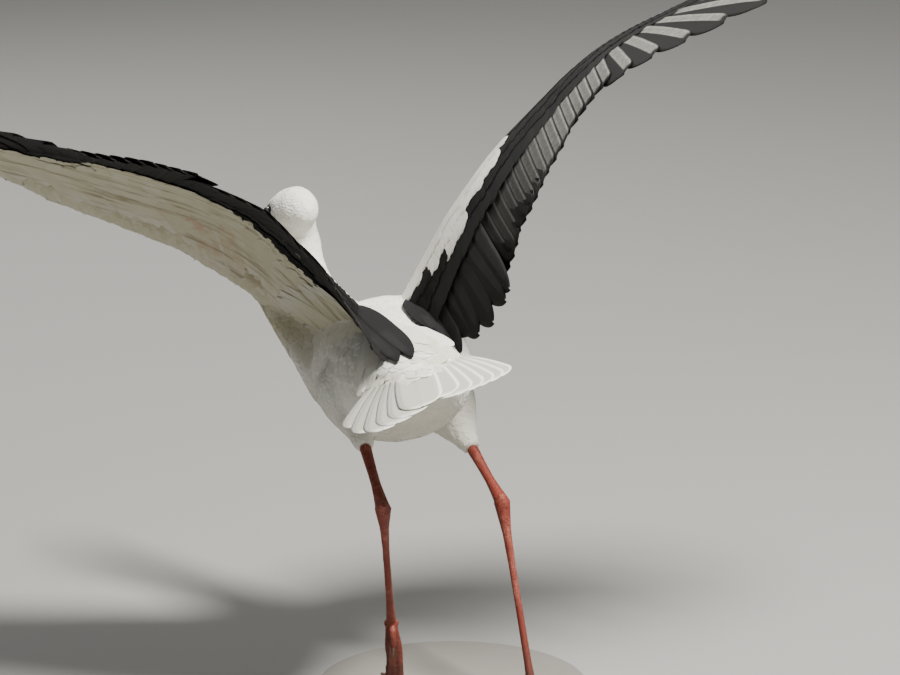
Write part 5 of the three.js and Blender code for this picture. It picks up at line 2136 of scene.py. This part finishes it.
class STORK_OT_wing_feathers(bpy.types.Operator):
    """Make the flight feathers and coverts of both wings"""

    bl_idname = "stork.wing_feathers"
    bl_label = "Wing feathers"

    def execute(self, context):
        for wing in WINGS.values():
            make_tertials(wing)
            make_secondaries(wing)
            make_inner_primaries(wing)
            make_outer_primaries(wing)
            make_alula(wing)
            make_coverts(wing)
        return {"FINISHED"}


class STORK_OT_tail(bpy.types.Operator):
    """Make the tail feathers and the soft ones over their base"""

    bl_idname = "stork.tail"
    bl_label = "Tail"

    def execute(self, context):
        make_tail()
        return {"FINISHED"}


class STORK_OT_face(bpy.types.Operator):
    """Make the bill and the eyes"""

    bl_idname = "stork.face"
    bl_label = "Bill and eyes"

    def execute(self, context):
        make_bill()
        make_eyes()
        return {"FINISHED"}


class STORK_OT_claws(bpy.types.Operator):
    """Make the claws"""

    bl_idname = "stork.claws"
    bl_label = "Claws"

    def execute(self, context):
        make_claws()
        return {"FINISHED"}


class STORK_OT_board(bpy.types.Operator):
    """Make the board that the bird stands on"""

    bl_idname = "stork.board"
    bl_label = "Board"

    def execute(self, context):
        make_board()
        return {"FINISHED"}


class STORK_OT_stage(bpy.types.Operator):
    """Set up floor, lights and camera"""

    bl_idname = "stork.stage"
    bl_label = "Stage"

    def execute(self, context):
        make_stage()
        return {"FINISHED"}


MAKERS = [
    STORK_OT_stage, STORK_OT_skin, STORK_OT_body_coat, STORK_OT_head_coat, STORK_OT_wing_feathers,
    STORK_OT_tail, STORK_OT_face, STORK_OT_claws, STORK_OT_board]


class STORK_PT_panel(bpy.types.Panel):
    """The stork's makers, in order"""

    bl_idname = "STORK_PT_panel"
    bl_label = "White stork"
    bl_space_type = "VIEW_3D"
    bl_region_type = "UI"
    bl_category = "Stork"

    def draw(self, context):
        for maker in MAKERS:
            self.layout.operator(maker.bl_idname)
        for group_name, settings in SETTINGS.items():
            box = self.layout.box()
            for name in settings.__annotations__:
                box.prop(getattr(context.scene, group_name), name)


SETTINGS = {
    "stork_coat": StorkCoatSettings,
    "stork_colours": StorkColourSettings,
    "stork_stage": StorkStageSettings,
}


def register():
    for made in [*SETTINGS.values(), *MAKERS, STORK_PT_panel]:
        bpy.utils.register_class(made)
    for name, settings in SETTINGS.items():
        setattr(bpy.types.Scene, name, PointerProperty(type=settings))


def unregister():
    for name in SETTINGS:
        delattr(bpy.types.Scene, name)
    for made in reversed([*SETTINGS.values(), *MAKERS, STORK_PT_panel]):
        bpy.utils.unregister_class(made)


def main():
    """Makes every piece in order."""
    register()
    bpy.ops.stork.stage()
    bpy.ops.stork.skin()
    bpy.ops.stork.body_coat()
    bpy.ops.stork.head_coat()
    bpy.ops.stork.wing_feathers()
    bpy.ops.stork.tail()
    bpy.ops.stork.face()
    bpy.ops.stork.claws()
    bpy.ops.stork.board()


if __name__ == "__main__":
    main()
